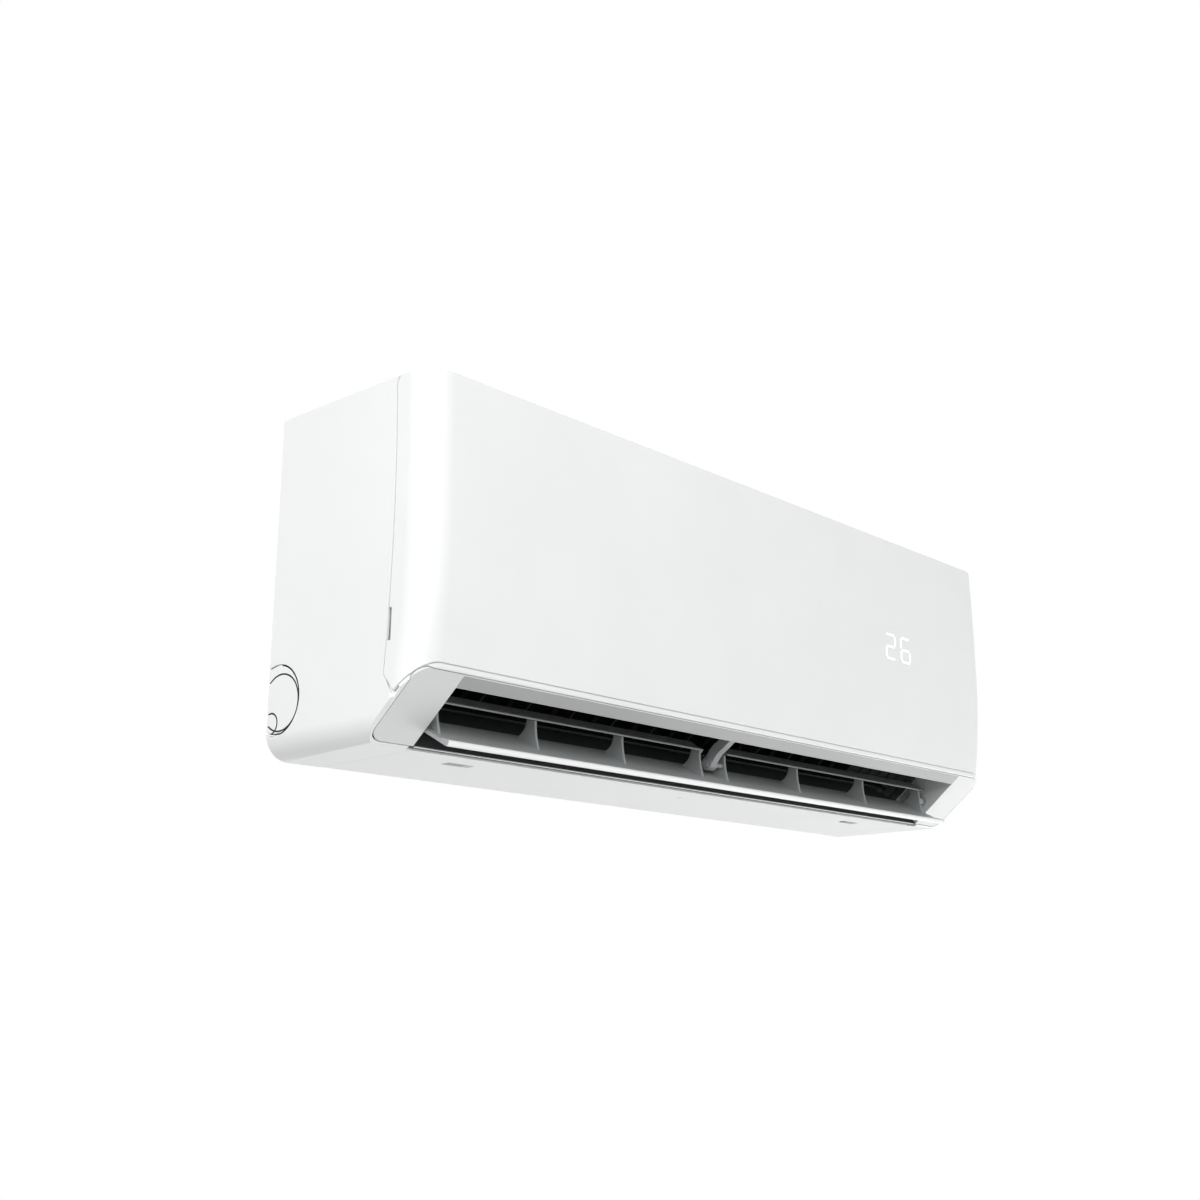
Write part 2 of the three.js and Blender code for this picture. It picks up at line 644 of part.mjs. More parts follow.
// The space in front of the side seam, grown rearwards and downwards by a gap.
function panelSpace(gap) {
  const radius = seamRadius + gap;
  const reach = Math.asin((UNIT_HEIGHT - PANEL_AXIS_HEIGHT) / radius);
  const hinge = arc([PANEL_AXIS_DEPTH, PANEL_AXIS_HEIGHT], radius,
    180, 180 - THREE.MathUtils.radToDeg(reach), CORNER_STEPS);
  const seam = Array.from({ length: PROFILE_LEVELS }, (_, i) => {
    const height = SEAM_FOOT_HEIGHT + ((PANEL_AXIS_HEIGHT - SEAM_FOOT_HEIGHT) * i) / PROFILE_LEVELS;
    return [seamDepth(height) - gap, height];
  });
  const lowLine = (up) => ductPoint(RIM_BAND - gap, up);
  const foot = crossing(seam[0], [seam[0][0] + slantSin, seam[0][1] - slantCos], lowLine(0), lowLine(1));
  const far = 2 * TOP_DEPTH;
  const front = crossing(lowLine(0), lowLine(1), [far, 0], [far, 1]);
  return across([foot, front, [far, 2 * UNIT_HEIGHT], [hinge.at(-1)[0], 2 * UNIT_HEIGHT],
    ...hinge.reverse(), ...seam.reverse()], -UNIT_WIDTH, UNIT_WIDTH);
}

const hingeBore = () => (
  barAcross(HINGE_PIN_RADIUS + SNUG, -UNIT_WIDTH, UNIT_WIDTH, PANEL_AXIS_DEPTH, PANEL_AXIS_HEIGHT)
);

function frontPanel() {
  const hingeArm = (x) => {
    const half = HINGE_ARM_WIDTH / 2;
    const face = frontDepth(PANEL_AXIS_HEIGHT) - WALL / 2;
    return join(
      barAcross(HINGE_ARM_RADIUS, x - half, x + half, PANEL_AXIS_DEPTH, PANEL_AXIS_HEIGHT),
      block(x - half, x + half, PANEL_AXIS_DEPTH, face,
        PANEL_AXIS_HEIGHT - HINGE_ARM_RADIUS, PANEL_AXIS_HEIGHT + HINGE_ARM_RADIUS),
    );
  };
  const bore = hingeBore();
  const tabRear = seamDepth(FINGER_TAB_LOW) - FINGER_TAB_DEPTH;
  const tabs = block(-UNIT_WIDTH, UNIT_WIDTH, tabRear, seamDepth(FINGER_TAB_LOW) + FINGER_TAB_DEPTH,
    FINGER_TAB_LOW, FINGER_TAB_HIGH);
  const cover = cut(common(shell, panelSpace(0)), tabs);
  const arms = cut(join(hingeArm(-HINGE_ARM_X), hingeArm(HINGE_ARM_X)), bore);
  return join(cover, arms);
}

function hingePin(side) {
  const reach = HINGE_ARM_WIDTH / 2 + CLEARANCE + HINGE_LUG_WIDTH;
  const middle = side * HINGE_ARM_X;
  return barAcross(HINGE_PIN_RADIUS, middle - reach, middle + reach, PANEL_AXIS_DEPTH, PANEL_AXIS_HEIGHT);
}

// ---------------------------------------------------------------- casing
const outletLength = (LOWER_EDGE_DEPTH - OUTLET_EDGE_DEPTH) / slantCos;
const frameHalf = HALF_WIDTH - OUTLET_SIDE_RIM;
const frameTop = outletLength - OUTLET_RIM;
const insideHalf = HALF_WIDTH - WALL;
const behindPanelHalf = insideHalf - WALL;

// The outline of the grey outlet frame in the outlet plane, grown by a gap.
function outletOutline(gap) {
  const radius = OUTLET_FRAME_RADIUS;
  return rounded(-frameHalf - gap, frameHalf + gap, OUTLET_FOOT - gap, frameTop + gap,
    [radius, radius, radius, radius]);
}

function knockoutOutline(gap) {
  const ring = circle([KNOCKOUT_DEPTH, KNOCKOUT_HEIGHT], KNOCKOUT_RADIUS - gap, ROUND_STEPS);
  return across(ring, -UNIT_WIDTH, UNIT_WIDTH);
}

function windows() {
  const pane = (left, right) => block(left, right, BACK_WALL_FRONT, TOP_DEPTH, WINDOW_LOW, WINDOW_HIGH);
  const half = WINDOW_BAR / 2;
  const leftBar = -(WINDOW_OUTER + WINDOW_INNER) / 2;
  const rightBar = (WINDOW_RIGHT + WINDOW_INNER) / 2;
  return [
    pane(-WINDOW_OUTER, leftBar - half), pane(leftBar + half, -WINDOW_INNER),
    pane(WINDOW_INNER, rightBar - half), pane(rightBar + half, WINDOW_RIGHT),
  ];
}

// Rails that hold the two air filters against the frame.
function filterRails() {
  const rear = FRAME_FRONT - WALL / 2;
  const lipRear = FRAME_FRONT + CLEARANCE + FILTER_THICKNESS + CLEARANCE;
  const lipFront = lipRear + RAIL_THICKNESS;
  const outer = FILTER_OUTER + CLEARANCE;
  const edge = (side) => {
    const span = (near, far) => (side > 0 ? [near, far] : [-far, -near]);
    return join(
      block(...span(outer, outer + RAIL_THICKNESS), rear, lipFront, FILTER_LOW, FILTER_HIGH),
      block(...span(outer - RAIL_LIP, outer + RAIL_THICKNESS), lipRear, lipFront, FILTER_LOW, FILTER_HIGH),
    );
  };
  const post = FILTER_INNER - CLEARANCE;
  const middle = join(
    block(-post, post, rear, lipFront, FILTER_LOW, FILTER_HIGH),
    block(-post - RAIL_LIP, post + RAIL_LIP, lipRear, lipFront, FILTER_LOW, FILTER_HIGH),
  );
  const stop = (left, right) => block(left, right, rear, FRAME_FRONT + FILTER_THICKNESS,
    FILTER_LOW - RAIL_LIP, FILTER_LOW - CLEARANCE);
  const stops = [-FILTER_OUTER, -FILTER_OUTER / 2, FILTER_OUTER / 2, FILTER_OUTER]
    .map((x) => stop(x - 2 * RAIL_LIP, x + 2 * RAIL_LIP));
  return [edge(-1), edge(1), middle, ...stops];
}

function hingeLugs() {
  const gap = HINGE_ARM_WIDTH / 2 + CLEARANCE;
  const lug = (left) => join(
    barAcross(HINGE_LUG_RADIUS, left, left + HINGE_LUG_WIDTH, PANEL_AXIS_DEPTH, PANEL_AXIS_HEIGHT),
    block(left, left + HINGE_LUG_WIDTH, PANEL_AXIS_DEPTH - HINGE_LUG_RADIUS,
      PANEL_AXIS_DEPTH + HINGE_LUG_RADIUS, FRAME_TOP_HEIGHT, PANEL_AXIS_HEIGHT),
  );
  const pair = (x) => [lug(x - gap - HINGE_LUG_WIDTH), lug(x + gap)];
  return cut(join(...pair(-HINGE_ARM_X), ...pair(HINGE_ARM_X)), hingeBore());
}

function frontCasing() {
  const skin = cut(shell, panelSpace(SEAM));
  const trough = seamRadius + SEAM + 2 * WALL / 3;
  const gutter = across(sheet(arc([PANEL_AXIS_DEPTH, PANEL_AXIS_HEIGHT], trough, GUTTER_START, GUTTER_END,
    2 * CORNER_STEPS), WALL), -behindPanelHalf, behindPanelHalf);
  const frameRear = FRAME_FRONT - WALL;
  const frameFoot = FRAME_FOOT;
  const frame = block(-behindPanelHalf, behindPanelHalf, frameRear, FRAME_FRONT, frameFoot,
      FRAME_TOP_HEIGHT + 1);
  const sideWall = (side) => {
    const span = (near, far) => (side > 0 ? [near, far] : [-far, -near]);
    return join(
      block(...span(behindPanelHalf - SIDE_STEP_WIDTH, behindPanelHalf), SIDE_STEP_DEPTH, FRAME_FRONT,
        SEAM_FOOT_HEIGHT, FRAME_TOP_HEIGHT),
      block(...span(behindPanelHalf - SIDE_STEP_WIDTH, insideHalf + SEAM), SIDE_STEP_DEPTH,
        SIDE_STEP_DEPTH + WALL, SEAM_FOOT_HEIGHT, FRAME_TOP_HEIGHT),
    );
  };
  const ledge = across(sheet([
    ductPoint(WALL / 3, outletLength - 1), [FRAME_FRONT - WALL / 2, frameFoot + 1],
  ], LEDGE_THICKNESS), PLAN_CORNER_RADIUS - UNIT_WIDTH / 2, UNIT_WIDTH / 2 - PLAN_CORNER_RADIUS);
  const ledgeHalf = GRILLE_OUTER + GRILLE_LEDGE;
  const grilleHole = block(-GRILLE_OUTER, GRILLE_OUTER, GRILLE_REAR, GRILLE_FRONT, FRAME_TOP_HEIGHT,
      2 * UNIT_HEIGHT);
  const ledgeTop = UNIT_HEIGHT - GRILLE_THICKNESS - CLEARANCE;
  const ledgeRing = cut(
    block(-ledgeHalf, ledgeHalf, GRILLE_REAR - GRILLE_LEDGE, GRILLE_FRONT + GRILLE_LEDGE,
      ledgeTop - GRILLE_LEDGE_THICKNESS, UNIT_HEIGHT - WALL / 2),
    block(GRILLE_LEDGE - GRILLE_OUTER, GRILLE_OUTER - GRILLE_LEDGE, GRILLE_REAR + GRILLE_LEDGE,
      GRILLE_FRONT - GRILLE_LEDGE, 0, UNIT_HEIGHT),
    block(-GRILLE_OUTER, GRILLE_OUTER, GRILLE_REAR, GRILLE_FRONT, ledgeTop, UNIT_HEIGHT),
  );
  const underCut = block(-COVER_HALF_WIDTH, COVER_HALF_WIDTH, -WALL, COVER_FRONT + SEAM, -WALL,
      BOTTOM_CORNER_RADIUS);
  const mouth = intoUnit(ductPlate(outletOutline(SEAM), -WALL, WALL + CLEARANCE));
  const lipHalf = DUCT_WALL_X + SEAM;
  const slot = block(-lipHalf, lipHalf, COVER_FRONT, OUTLET_EDGE_DEPTH + WALL, -WALL,
    BOTTOM_CORNER_RADIUS);
  const buttonHole = barForwards(BUTTON_RADIUS + SNUG, frameRear - 1, FRAME_FRONT + 1, BUTTON_X,
      BUTTON_HEIGHT);
  const screwHoles = [-SCREW_X, SCREW_X].map((x) => (
    barForwards(SCREW_RADIUS + SNUG, frameRear - 1, FRAME_FRONT + 1, x, SCREW_HEIGHT, ROUND_STEPS / 2)));
  const scoopBacks = [-1, 1].map((side) => common(
    fingerScoop(side, frameHalf + SEAM + SNUG, HALF_WIDTH - WALL / 2, WALL), cut(outerForm,
        panelSpace(SEAM)),
  ));
  const scoops = [-1, 1].map((side) => fingerScoop(side, HALF_WIDTH - SCOOP_DEPTH, HALF_WIDTH + WALL, 0));
  const body = join(
    cut(skin, grilleHole), ledgeRing, scoopBacks, gutter, cut(frame, windows()),
    sideWall(-1), sideWall(1), ledge, hingeLugs(), filterRails(),
  );
  return cut(body, underCut, mouth, slot, knockoutOutline(0), buttonHole, screwHoles, scoops);
}

// The finger recess in a side, behind the panel's slanted lower corner: a wedge that runs out along the seam.
function fingerScoop(side, near, far, gap) {
  const [inside, up] = ductPlace(seamDepth(SEAM_FOOT_HEIGHT), SEAM_FOOT_HEIGHT);
  const low = up - SCOOP_WIDTH - gap;
  const curve = new THREE.QuadraticBezierCurve(
    new THREE.Vector2(-WALL, low),
    new THREE.Vector2((2 * inside) / 3, low),
    new THREE.Vector2(inside + SCOOP_TIP + gap, up + SCOOP_TIP),
  );
  const line = curve.getPoints(2 * CORNER_STEPS).map((p) => ductPoint(p.x, p.y));
  const outline = [...line, ductPoint(-WALL, up + SCOOP_TIP)];
  return across(outline, ...(side > 0 ? [near, far] : [-far, -near]));
}

function inletGrille() {
  const gap = CLEARANCE;
  const plate = block(gap - GRILLE_OUTER, GRILLE_OUTER - gap, GRILLE_REAR + gap, GRILLE_FRONT - gap,
    UNIT_HEIGHT - GRILLE_THICKNESS, UNIT_HEIGHT);
  const first = gap - GRILLE_OUTER + GRILLE_BORDER;
  const pitch = (-2 * first) / GRILLE_COLUMNS;
  const rear = GRILLE_REAR + gap + GRILLE_BORDER;
  const rowDepth = (GRILLE_FRONT - gap - GRILLE_BORDER - rear + GRILLE_CROSSBAR) / GRILLE_ROWS;
  const slots = [];
  for (let column = 0; column < GRILLE_COLUMNS; column += 1) {
    for (let row = 0; row < GRILLE_ROWS; row += 1) {
      const left = first + pitch * (column + 0.5) - GRILLE_SLOT_WIDTH / 2;
      const near = rear + rowDepth * row;
      slots.push(block(left, left + GRILLE_SLOT_WIDTH, near, near + rowDepth - GRILLE_CROSSBAR,
        UNIT_HEIGHT - 2 * GRILLE_THICKNESS, UNIT_HEIGHT + GRILLE_THICKNESS));
    }
  }
  return cut(plate, slots);
}

// The pressed-out pipe cover in a side wall, with the lines along which it breaks out.
function knockoutCover(side) {
  const outer = side * (UNIT_WIDTH / 2);
  const inner = side * insideHalf;
  const [left, right] = side > 0 ? [inner, outer] : [outer, inner];
  const disc = (centre, radius) => across(circle(centre, radius, ROUND_STEPS), left - WALL, right + WALL);
  const middle = [KNOCKOUT_DEPTH, KNOCKOUT_HEIGHT];
  const plate = common(
    outerForm,
    across(circle(middle, KNOCKOUT_RADIUS - KNOCKOUT_GROOVE, ROUND_STEPS), left, right),
    block(left, right, CLEARANCE, UNIT_WIDTH, 0, UNIT_HEIGHT),
  );
  const skinDepth = WALL / 3;
  const face = side > 0 ? [outer - skinDepth, outer + 1] : [outer - 1, outer + skinDepth];
  const groove = (centre, radius) => common(
    cut(disc(centre, radius + KNOCKOUT_GROOVE), disc(centre, radius)),
    block(...face, -WALL, UNIT_WIDTH, 0, UNIT_HEIGHT),
  );
  const innerLine = [KNOCKOUT_DEPTH + KNOCKOUT_INNER_SHIFT, KNOCKOUT_HEIGHT - KNOCKOUT_INNER_SHIFT / 2];
  return cut(plate, groove(innerLine, KNOCKOUT_INNER_RADIUS),
    groove([DRAIN_KNOCKOUT_DEPTH, DRAIN_KNOCKOUT_HEIGHT], DRAIN_KNOCKOUT_RADIUS));
}

// ---------------------------------------------------------------- chassis
const fanCentre = [FAN_DEPTH, FAN_HEIGHT];
const [fanInside, fanUp] = ductPlace(...fanCentre);
const floorMiddle = DUCT_FLOOR - WALL / 2;

// The air guide behind and below the fan, opening steadily until it runs into the duct floor.
function scrollLine() {
  const last = 180 + OUTLET_ANGLE;
  const start = FAN_RADIUS + REAR_GAP + WALL / 2;
  const end = fanUp - floorMiddle;
  return Array.from({ length: SCROLL_STEPS + 1 }, (_, i) => {
    const share = i / SCROLL_STEPS;
    const angle = radians(REAR_TONGUE_ANGLE + (last - REAR_TONGUE_ANGLE) * share);
    const radius = start + (end - start) * share;
    return [FAN_DEPTH + radius * Math.cos(angle), FAN_HEIGHT + radius * Math.sin(angle)];
  });
}

const fanEndWall = FAN_RIGHT + FAN_DISC + CLEARANCE;
const vanePlaces = Array.from({ length: VANE_COUNT }, (_, i) => VANE_FIRST_X + VANE_PITCH * i);
const tieInside = VANE_AXIS_INSIDE - TIE_RADIUS;
const cheekEnd = OUTLET_CHEEK_DEPTH + 1;

// The upper part of a wall that closes the fan's end, clear of the coils.
const fanEndTop = [
  [BACK_WALL_FRONT - WALL, REAR_TROUGH_FLOOR - 2 * WALL], [REAR_TONGUE_DEPTH + WALL,
      REAR_TROUGH_FLOOR - 2 * WALL],
  [REAR_TONGUE_DEPTH + 3 * WALL, SIDE_WALL_TOP - 2], [FAN_DEPTH, SIDE_WALL_TOP],
  [FAN_DEPTH + FAN_RADIUS / 2, SIDE_WALL_TOP - 4], [FAN_DEPTH + FAN_RADIUS + 1,
      FAN_HEIGHT + FAN_RADIUS / 2],
  [FAN_DEPTH + FAN_RADIUS + 1, FAN_HEIGHT - FAN_RADIUS / 2],
];

function leftEnd() {
  return across([
    [BACK_WALL_FRONT - WALL, WEB_FOOT], ...fanEndTop, ductPoint(DUCT_THROAT, DUCT_CEILING - 1),
    ductPoint(cheekEnd, DUCT_CEILING - 1), ductPoint(cheekEnd, floorMiddle),
    [OUTLET_EDGE_DEPTH - BOTTOM_CORNER_RADIUS, WEB_FOOT],
  ], -DUCT_WALL_X, WALL - DUCT_WALL_X);
}

function rightFanEnd() {
  return across([
    [BACK_WALL_FRONT - WALL, PIPE_CHANNEL_ROOF - WALL], ...fanEndTop, ductPoint(DUCT_THROAT,
        DUCT_CEILING - 1),
    ductPoint(DUCT_THROAT, floorMiddle), [floorRear, PIPE_CHANNEL_ROOF - WALL],
  ], fanEndWall, fanEndWall + WALL);
}

// Where the duct's slanting right wall stands at a distance inside the outlet.
function rightWallX(inside) {
  const share = (inside - cheekEnd) / (DUCT_THROAT - cheekEnd);
  return OUTLET_HALF_WIDTH - (OUTLET_HALF_WIDTH - fanEndWall) * share;
}

function rightDuctWall() {
  const place = (inside) => [rightWallX(inside) + WALL / 2, -inside];
  const wall = downwards(sheet([place(cheekEnd + 1), place(DUCT_THROAT)], WALL), floorMiddle,
      DUCT_CEILING - SEAM);
  const along = new THREE.Vector2(rightWallX(DUCT_THROAT) - rightWallX(cheekEnd),
      cheekEnd - DUCT_THROAT).normalize();
  const rise = WALL / 2 + DUCT_RIB_HEIGHT;
  const ribs = Array.from({ length: DUCT_RIB_COUNT }, (_, i) => {
    const foot = place(cheekEnd + DUCT_RIB_PITCH * (i + 1));
    const tip = [foot[0] + along.y * rise, foot[1] - along.x * rise];
    return downwards(sheet([foot, tip], DUCT_RIB_WIDTH), floorMiddle, DUCT_CEILING - WALL);
  });
  return join(wall, ribs);
}

// Height of the middle of the duct floor over a depth, and its depth at a height.
const floorLine = [ductPoint(0, floorMiddle), ductPoint(1, floorMiddle)];
const floorHeight = (depth) => crossing(...floorLine, [depth, 0], [depth, 1])[1];
const floorDepth = (height) => crossing(...floorLine, [0, height], [1, height])[0];
const floorRear = floorDepth(PIPE_CHANNEL_ROOF - WALL / 2);

// A post beside each latch's tongue, hanging from the duct floor.
function keeper(side) {
  const middle = side * LATCH_X;
  const start = LATCH_STEM_LENGTH / 2 + LATCH_TONGUE_LENGTH + CLEARANCE;
  const span = side > 0 ? [middle + start, middle + start + KEEPER_WEB] : [middle - start - KEEPER_WEB,
      middle - start];
  const rear = LATCH_DEPTH - LATCH_WIDTH / 2;
  const front = LATCH_DEPTH + LATCH_WIDTH / 2;
  return across([[rear, keeperLow], [front, keeperLow], [front, floorHeight(front)], [rear,
      floorHeight(rear)]], ...span);
}

const latchFloor = underSlope * LATCH_DEPTH + WALL;
const keeperLow = latchFloor + SEAM;

function rearChassis() {
  const backWall = block(-insideHalf + CLEARANCE, insideHalf - CLEARANCE, BACK_WALL_FRONT - WALL,
      BACK_WALL_FRONT,
    PIPE_CHANNEL_ROOF - WALL, UNIT_HEIGHT - WALL - CLEARANCE);
  const middleOfWall = BACK_WALL_FRONT - WALL / 2;
  const trough = across(sheet([
    [middleOfWall, REAR_TROUGH_FLOOR - WALL / 2], [REAR_TONGUE_DEPTH, REAR_TROUGH_FLOOR - WALL / 2],
    [REAR_TONGUE_DEPTH + 1, REAR_TONGUE_TOP],
  ], WALL), -DUCT_WALL_X, fanEndWall + WALL);
  const guide = [...scrollLine(), ductPoint(DUCT_FLOOR_START, floorMiddle)];
  const scroll = across(sheet(guide, WALL), -DUCT_WALL_X, fanEndWall + WALL);
  const floor = across(sheet([ductPoint(fanInside - FAN_RADIUS / 2, floorMiddle),
    ductPoint(DUCT_FLOOR_START, floorMiddle)], WALL), 0, DUCT_WALL_X);
  const roof = block(-DUCT_WALL_X, fanEndWall, middleOfWall, floorRear,
    PIPE_CHANNEL_ROOF - WALL, PIPE_CHANNEL_ROOF);
  const webs = WEB_PLACES.map((x) => across([
    [WEB_REAR, WEB_FOOT], [OUTLET_EDGE_DEPTH - WEB_NOSE, WEB_FOOT], ductPoint(WEB_NOSE, floorMiddle),
    ductPoint(fanInside - BOTTOM_CORNER_RADIUS, floorMiddle), [WEB_REAR, PIPE_CHANNEL_ROOF - 1],
  ], x - WEB_THICKNESS / 2, x + WEB_THICKNESS / 2));
  const coverPins = WEB_PLACES.map((x) => {
    const post = x - COVER_PIN_LENGTH / 2;
    return join(
      barAcross(COVER_PIN_RADIUS, post - 1, x + COVER_PIN_LENGTH / 2, COVER_PIN_DEPTH, COVER_PIN_HEIGHT,
        ROUND_STEPS / 2),
      block(post - WEB_THICKNESS, post, COVER_PIN_DEPTH - COVER_PIN_RADIUS + CLEARANCE, BACK_WALL_FRONT,
        COVER_PIN_HEIGHT - COVER_PIN_RADIUS / 2, PIPE_CHANNEL_ROOF),
    );
  });
  const catches = HOOK_X.map((x) => {
    const half = HOOK_WIDTH / 2 + CATCH_MARGIN;
    const plateTop = PLATE_CENTRE_HEIGHT + PLATE_HEIGHT / 2;
    const front = HOOK_REACH - PLATE_THICKNESS - CLEARANCE;
    const rear = PLATE_THICKNESS + SEAM;
    return join(
      block(x - half, x + half, rear, front, plateTop + CLEARANCE, plateTop + HOOK_RISE + CATCH_MARGIN),
      block(x - half, x + half, rear, BACK_WALL_FRONT - WALL / 2, plateTop + HOOK_RISE + CLEARANCE,
        plateTop + HOOK_RISE + 2 * CATCH_MARGIN),
    );
  });
  const cradle = motorCradle();
  const shaftHole = barAcross(MOTOR_BOSS_RADIUS + SEAM, fanEndWall - 1, fanEndWall + WALL + 1,
      ...fanCentre);
  const bearingHole = barAcross(BEARING_RADIUS + CLEARANCE, -DUCT_WALL_X - 1, WALL - DUCT_WALL_X + 1,
      ...fanCentre);
  const vaneHoles = vanePlaces.map((x) => ductBarUp(VANE_PIN_RADIUS + SNUG, DUCT_FLOOR - 2 * WALL,
    DUCT_FLOOR + WALL, x, VANE_AXIS_INSIDE, ROUND_STEPS / 2));
  const crankHole = ductBarUp(STEPPER_BOSS_RADIUS + CLEARANCE, DUCT_FLOOR - 2 * WALL, DUCT_FLOOR + WALL,
    VANE_MOTOR_X, VANE_AXIS_INSIDE, ROUND_STEPS / 2);
  const tiePass = ductBlock(fanEndWall - 2 * WALL, VANE_MOTOR_X,
    tieInside - TIE_ROD_WIDTH / 2 - 1, tieInside + TIE_ROD_WIDTH / 2 + 2, TIE_ROD_LOW - 1,
    TIE_ROD_LOW + TIE_ROD_THICKNESS + 1);
  const body = join(backWall, trough, scroll, floor, roof, webs, coverPins, catches, cradle,
    leftEnd(), rightFanEnd(), keeper(-1), keeper(1), intoUnit(rightDuctWall()));
  return cut(body, shaftHole, bearingHole, intoUnit(join(vaneHoles, crankHole)), intoUnit(tiePass));
}

// A saddle under the motor, standing on the back wall.
function motorCradle() {
  const radius = MOTOR_RADIUS + CLEARANCE;
  const saddle = (x) => cut(
    across([
      [BACK_WALL_FRONT - WALL / 2, FAN_HEIGHT - radius], [BACK_WALL_FRONT - WALL / 2, FAN_HEIGHT],
      [FAN_DEPTH - radius - CRADLE_THICKNESS, FAN_HEIGHT], [FAN_DEPTH, FAN_HEIGHT],
      [FAN_DEPTH + radius * 0.6, FAN_HEIGHT - radius * 0.9],
      [FAN_DEPTH, FAN_HEIGHT - radius - 2 * CRADLE_THICKNESS],
    ], x, x + CRADLE_WIDTH),
    barAcross(radius, x - 1, x + CRADLE_WIDTH + 1, ...fanCentre),
  );
  return join(saddle(MOTOR_LEFT + MOTOR_RIM_WIDTH),
      saddle(MOTOR_RIGHT - MOTOR_RIM_WIDTH - CRADLE_WIDTH - 2));
}

// ---------------------------------------------------------------- drain pan, which is also the duct's ceiling
function drainPan() {
  const tongue = arc(fanCentre, FAN_RADIUS + PAN_TONGUE_GAP + WALL / 2,
      PAN_TONGUE_ANGLE + PAN_TONGUE_RISE, PAN_TONGUE_ANGLE, 2);
  const ceiling = sheet([...tongue, ductPoint(DUCT_THROAT, DUCT_CEILING + WALL / 2),
    ductPoint(OUTLET_LIP_RETURN, DUCT_CEILING + WALL / 2)], WALL);
  const wallFoot = crossing(ductPoint(0, DUCT_CEILING + WALL), ductPoint(1, DUCT_CEILING + WALL),
    [PAN_FRONT, 0], [PAN_FRONT, 1])[1];
  const frontWall = rectangle(PAN_FRONT - WALL, PAN_FRONT, wallFoot - 1, PAN_FRONT_TOP);
  const right = FAN_RIGHT;
  const left = CLEARANCE - OUTLET_HALF_WIDTH;
  const rearFoot = crossing(ductPoint(0, DUCT_CEILING + WALL / 2), ductPoint(1, DUCT_CEILING + WALL / 2),
    [PAN_STEP_DEPTH, 0], [PAN_STEP_DEPTH, 1]);
  const endTop = COIL_FRONT_LOW[1] - CLEARANCE;
  const stepOutline = [[PAN_STEP_DEPTH, endTop], rearFoot, [PAN_FRONT - WALL / 2, wallFoot - WALL / 2],
    [PAN_FRONT - WALL / 2, PAN_FRONT_TOP]];
  const step = across(sheet(stepOutline, WALL), right - WALL, PAN_RIGHT);
  const stepEnd = across(stepOutline, PAN_RIGHT - WALL, PAN_RIGHT);
  const end = (x) => across([tongue[0], [PAN_FRONT, PAN_FRONT_TOP], [PAN_FRONT, wallFoot],
    ductPoint(DUCT_THROAT, DUCT_CEILING + 1), tongue.at(-1)], x, x + WALL);
  const rests = PAN_REST_PLACES.map((x) => across([
    [COIL_FRONT_LOW[0] - COIL_THICKNESS / 3, COIL_FRONT_LOW[1] - CLEARANCE],
    [COIL_FRONT_LOW[0] + COIL_THICKNESS / 3, COIL_FRONT_LOW[1] - CLEARANCE],
    [COIL_FRONT_LOW[0] + COIL_THICKNESS / 3, wallFoot + 8],
    ductPoint(DUCT_THROAT - 8, DUCT_CEILING + WALL / 2),
  ], x, x + PAN_REST_WIDTH));
  const spoutHeight = wallFoot + SPOUT_RISE;
  const spoutDepth = PAN_FRONT - WALL - SPOUT_RADIUS;
  const spout = barAcross(SPOUT_RADIUS, left - SPOUT_LENGTH, left + WALL / 2, spoutDepth, spoutHeight);
  const bore = barAcross(SPOUT_BORE, left - SPOUT_LENGTH - 1, left + WALL + 1, spoutDepth, spoutHeight);
  const screws = (radius, rear, front) => [-SCREW_X, SCREW_X].map((x) => (
    barForwards(radius, rear, front, x, SCREW_HEIGHT, ROUND_STEPS / 2)));
  const bosses = screws(SCREW_BOSS_RADIUS, PAN_FRONT - WALL / 2, FRAME_FRONT - WALL - CLEARANCE);
  const screwBores = screws(SCREW_RADIUS + SNUG, FRAME_FRONT - SCREW_LENGTH - CLEARANCE, FRAME_FRONT);
  const body = join(across(ceiling, left, right), across(frontWall, left, right),
    end(left), step, stepEnd, rests, spout, bosses);
  return cut(body, bore, screwBores);
}

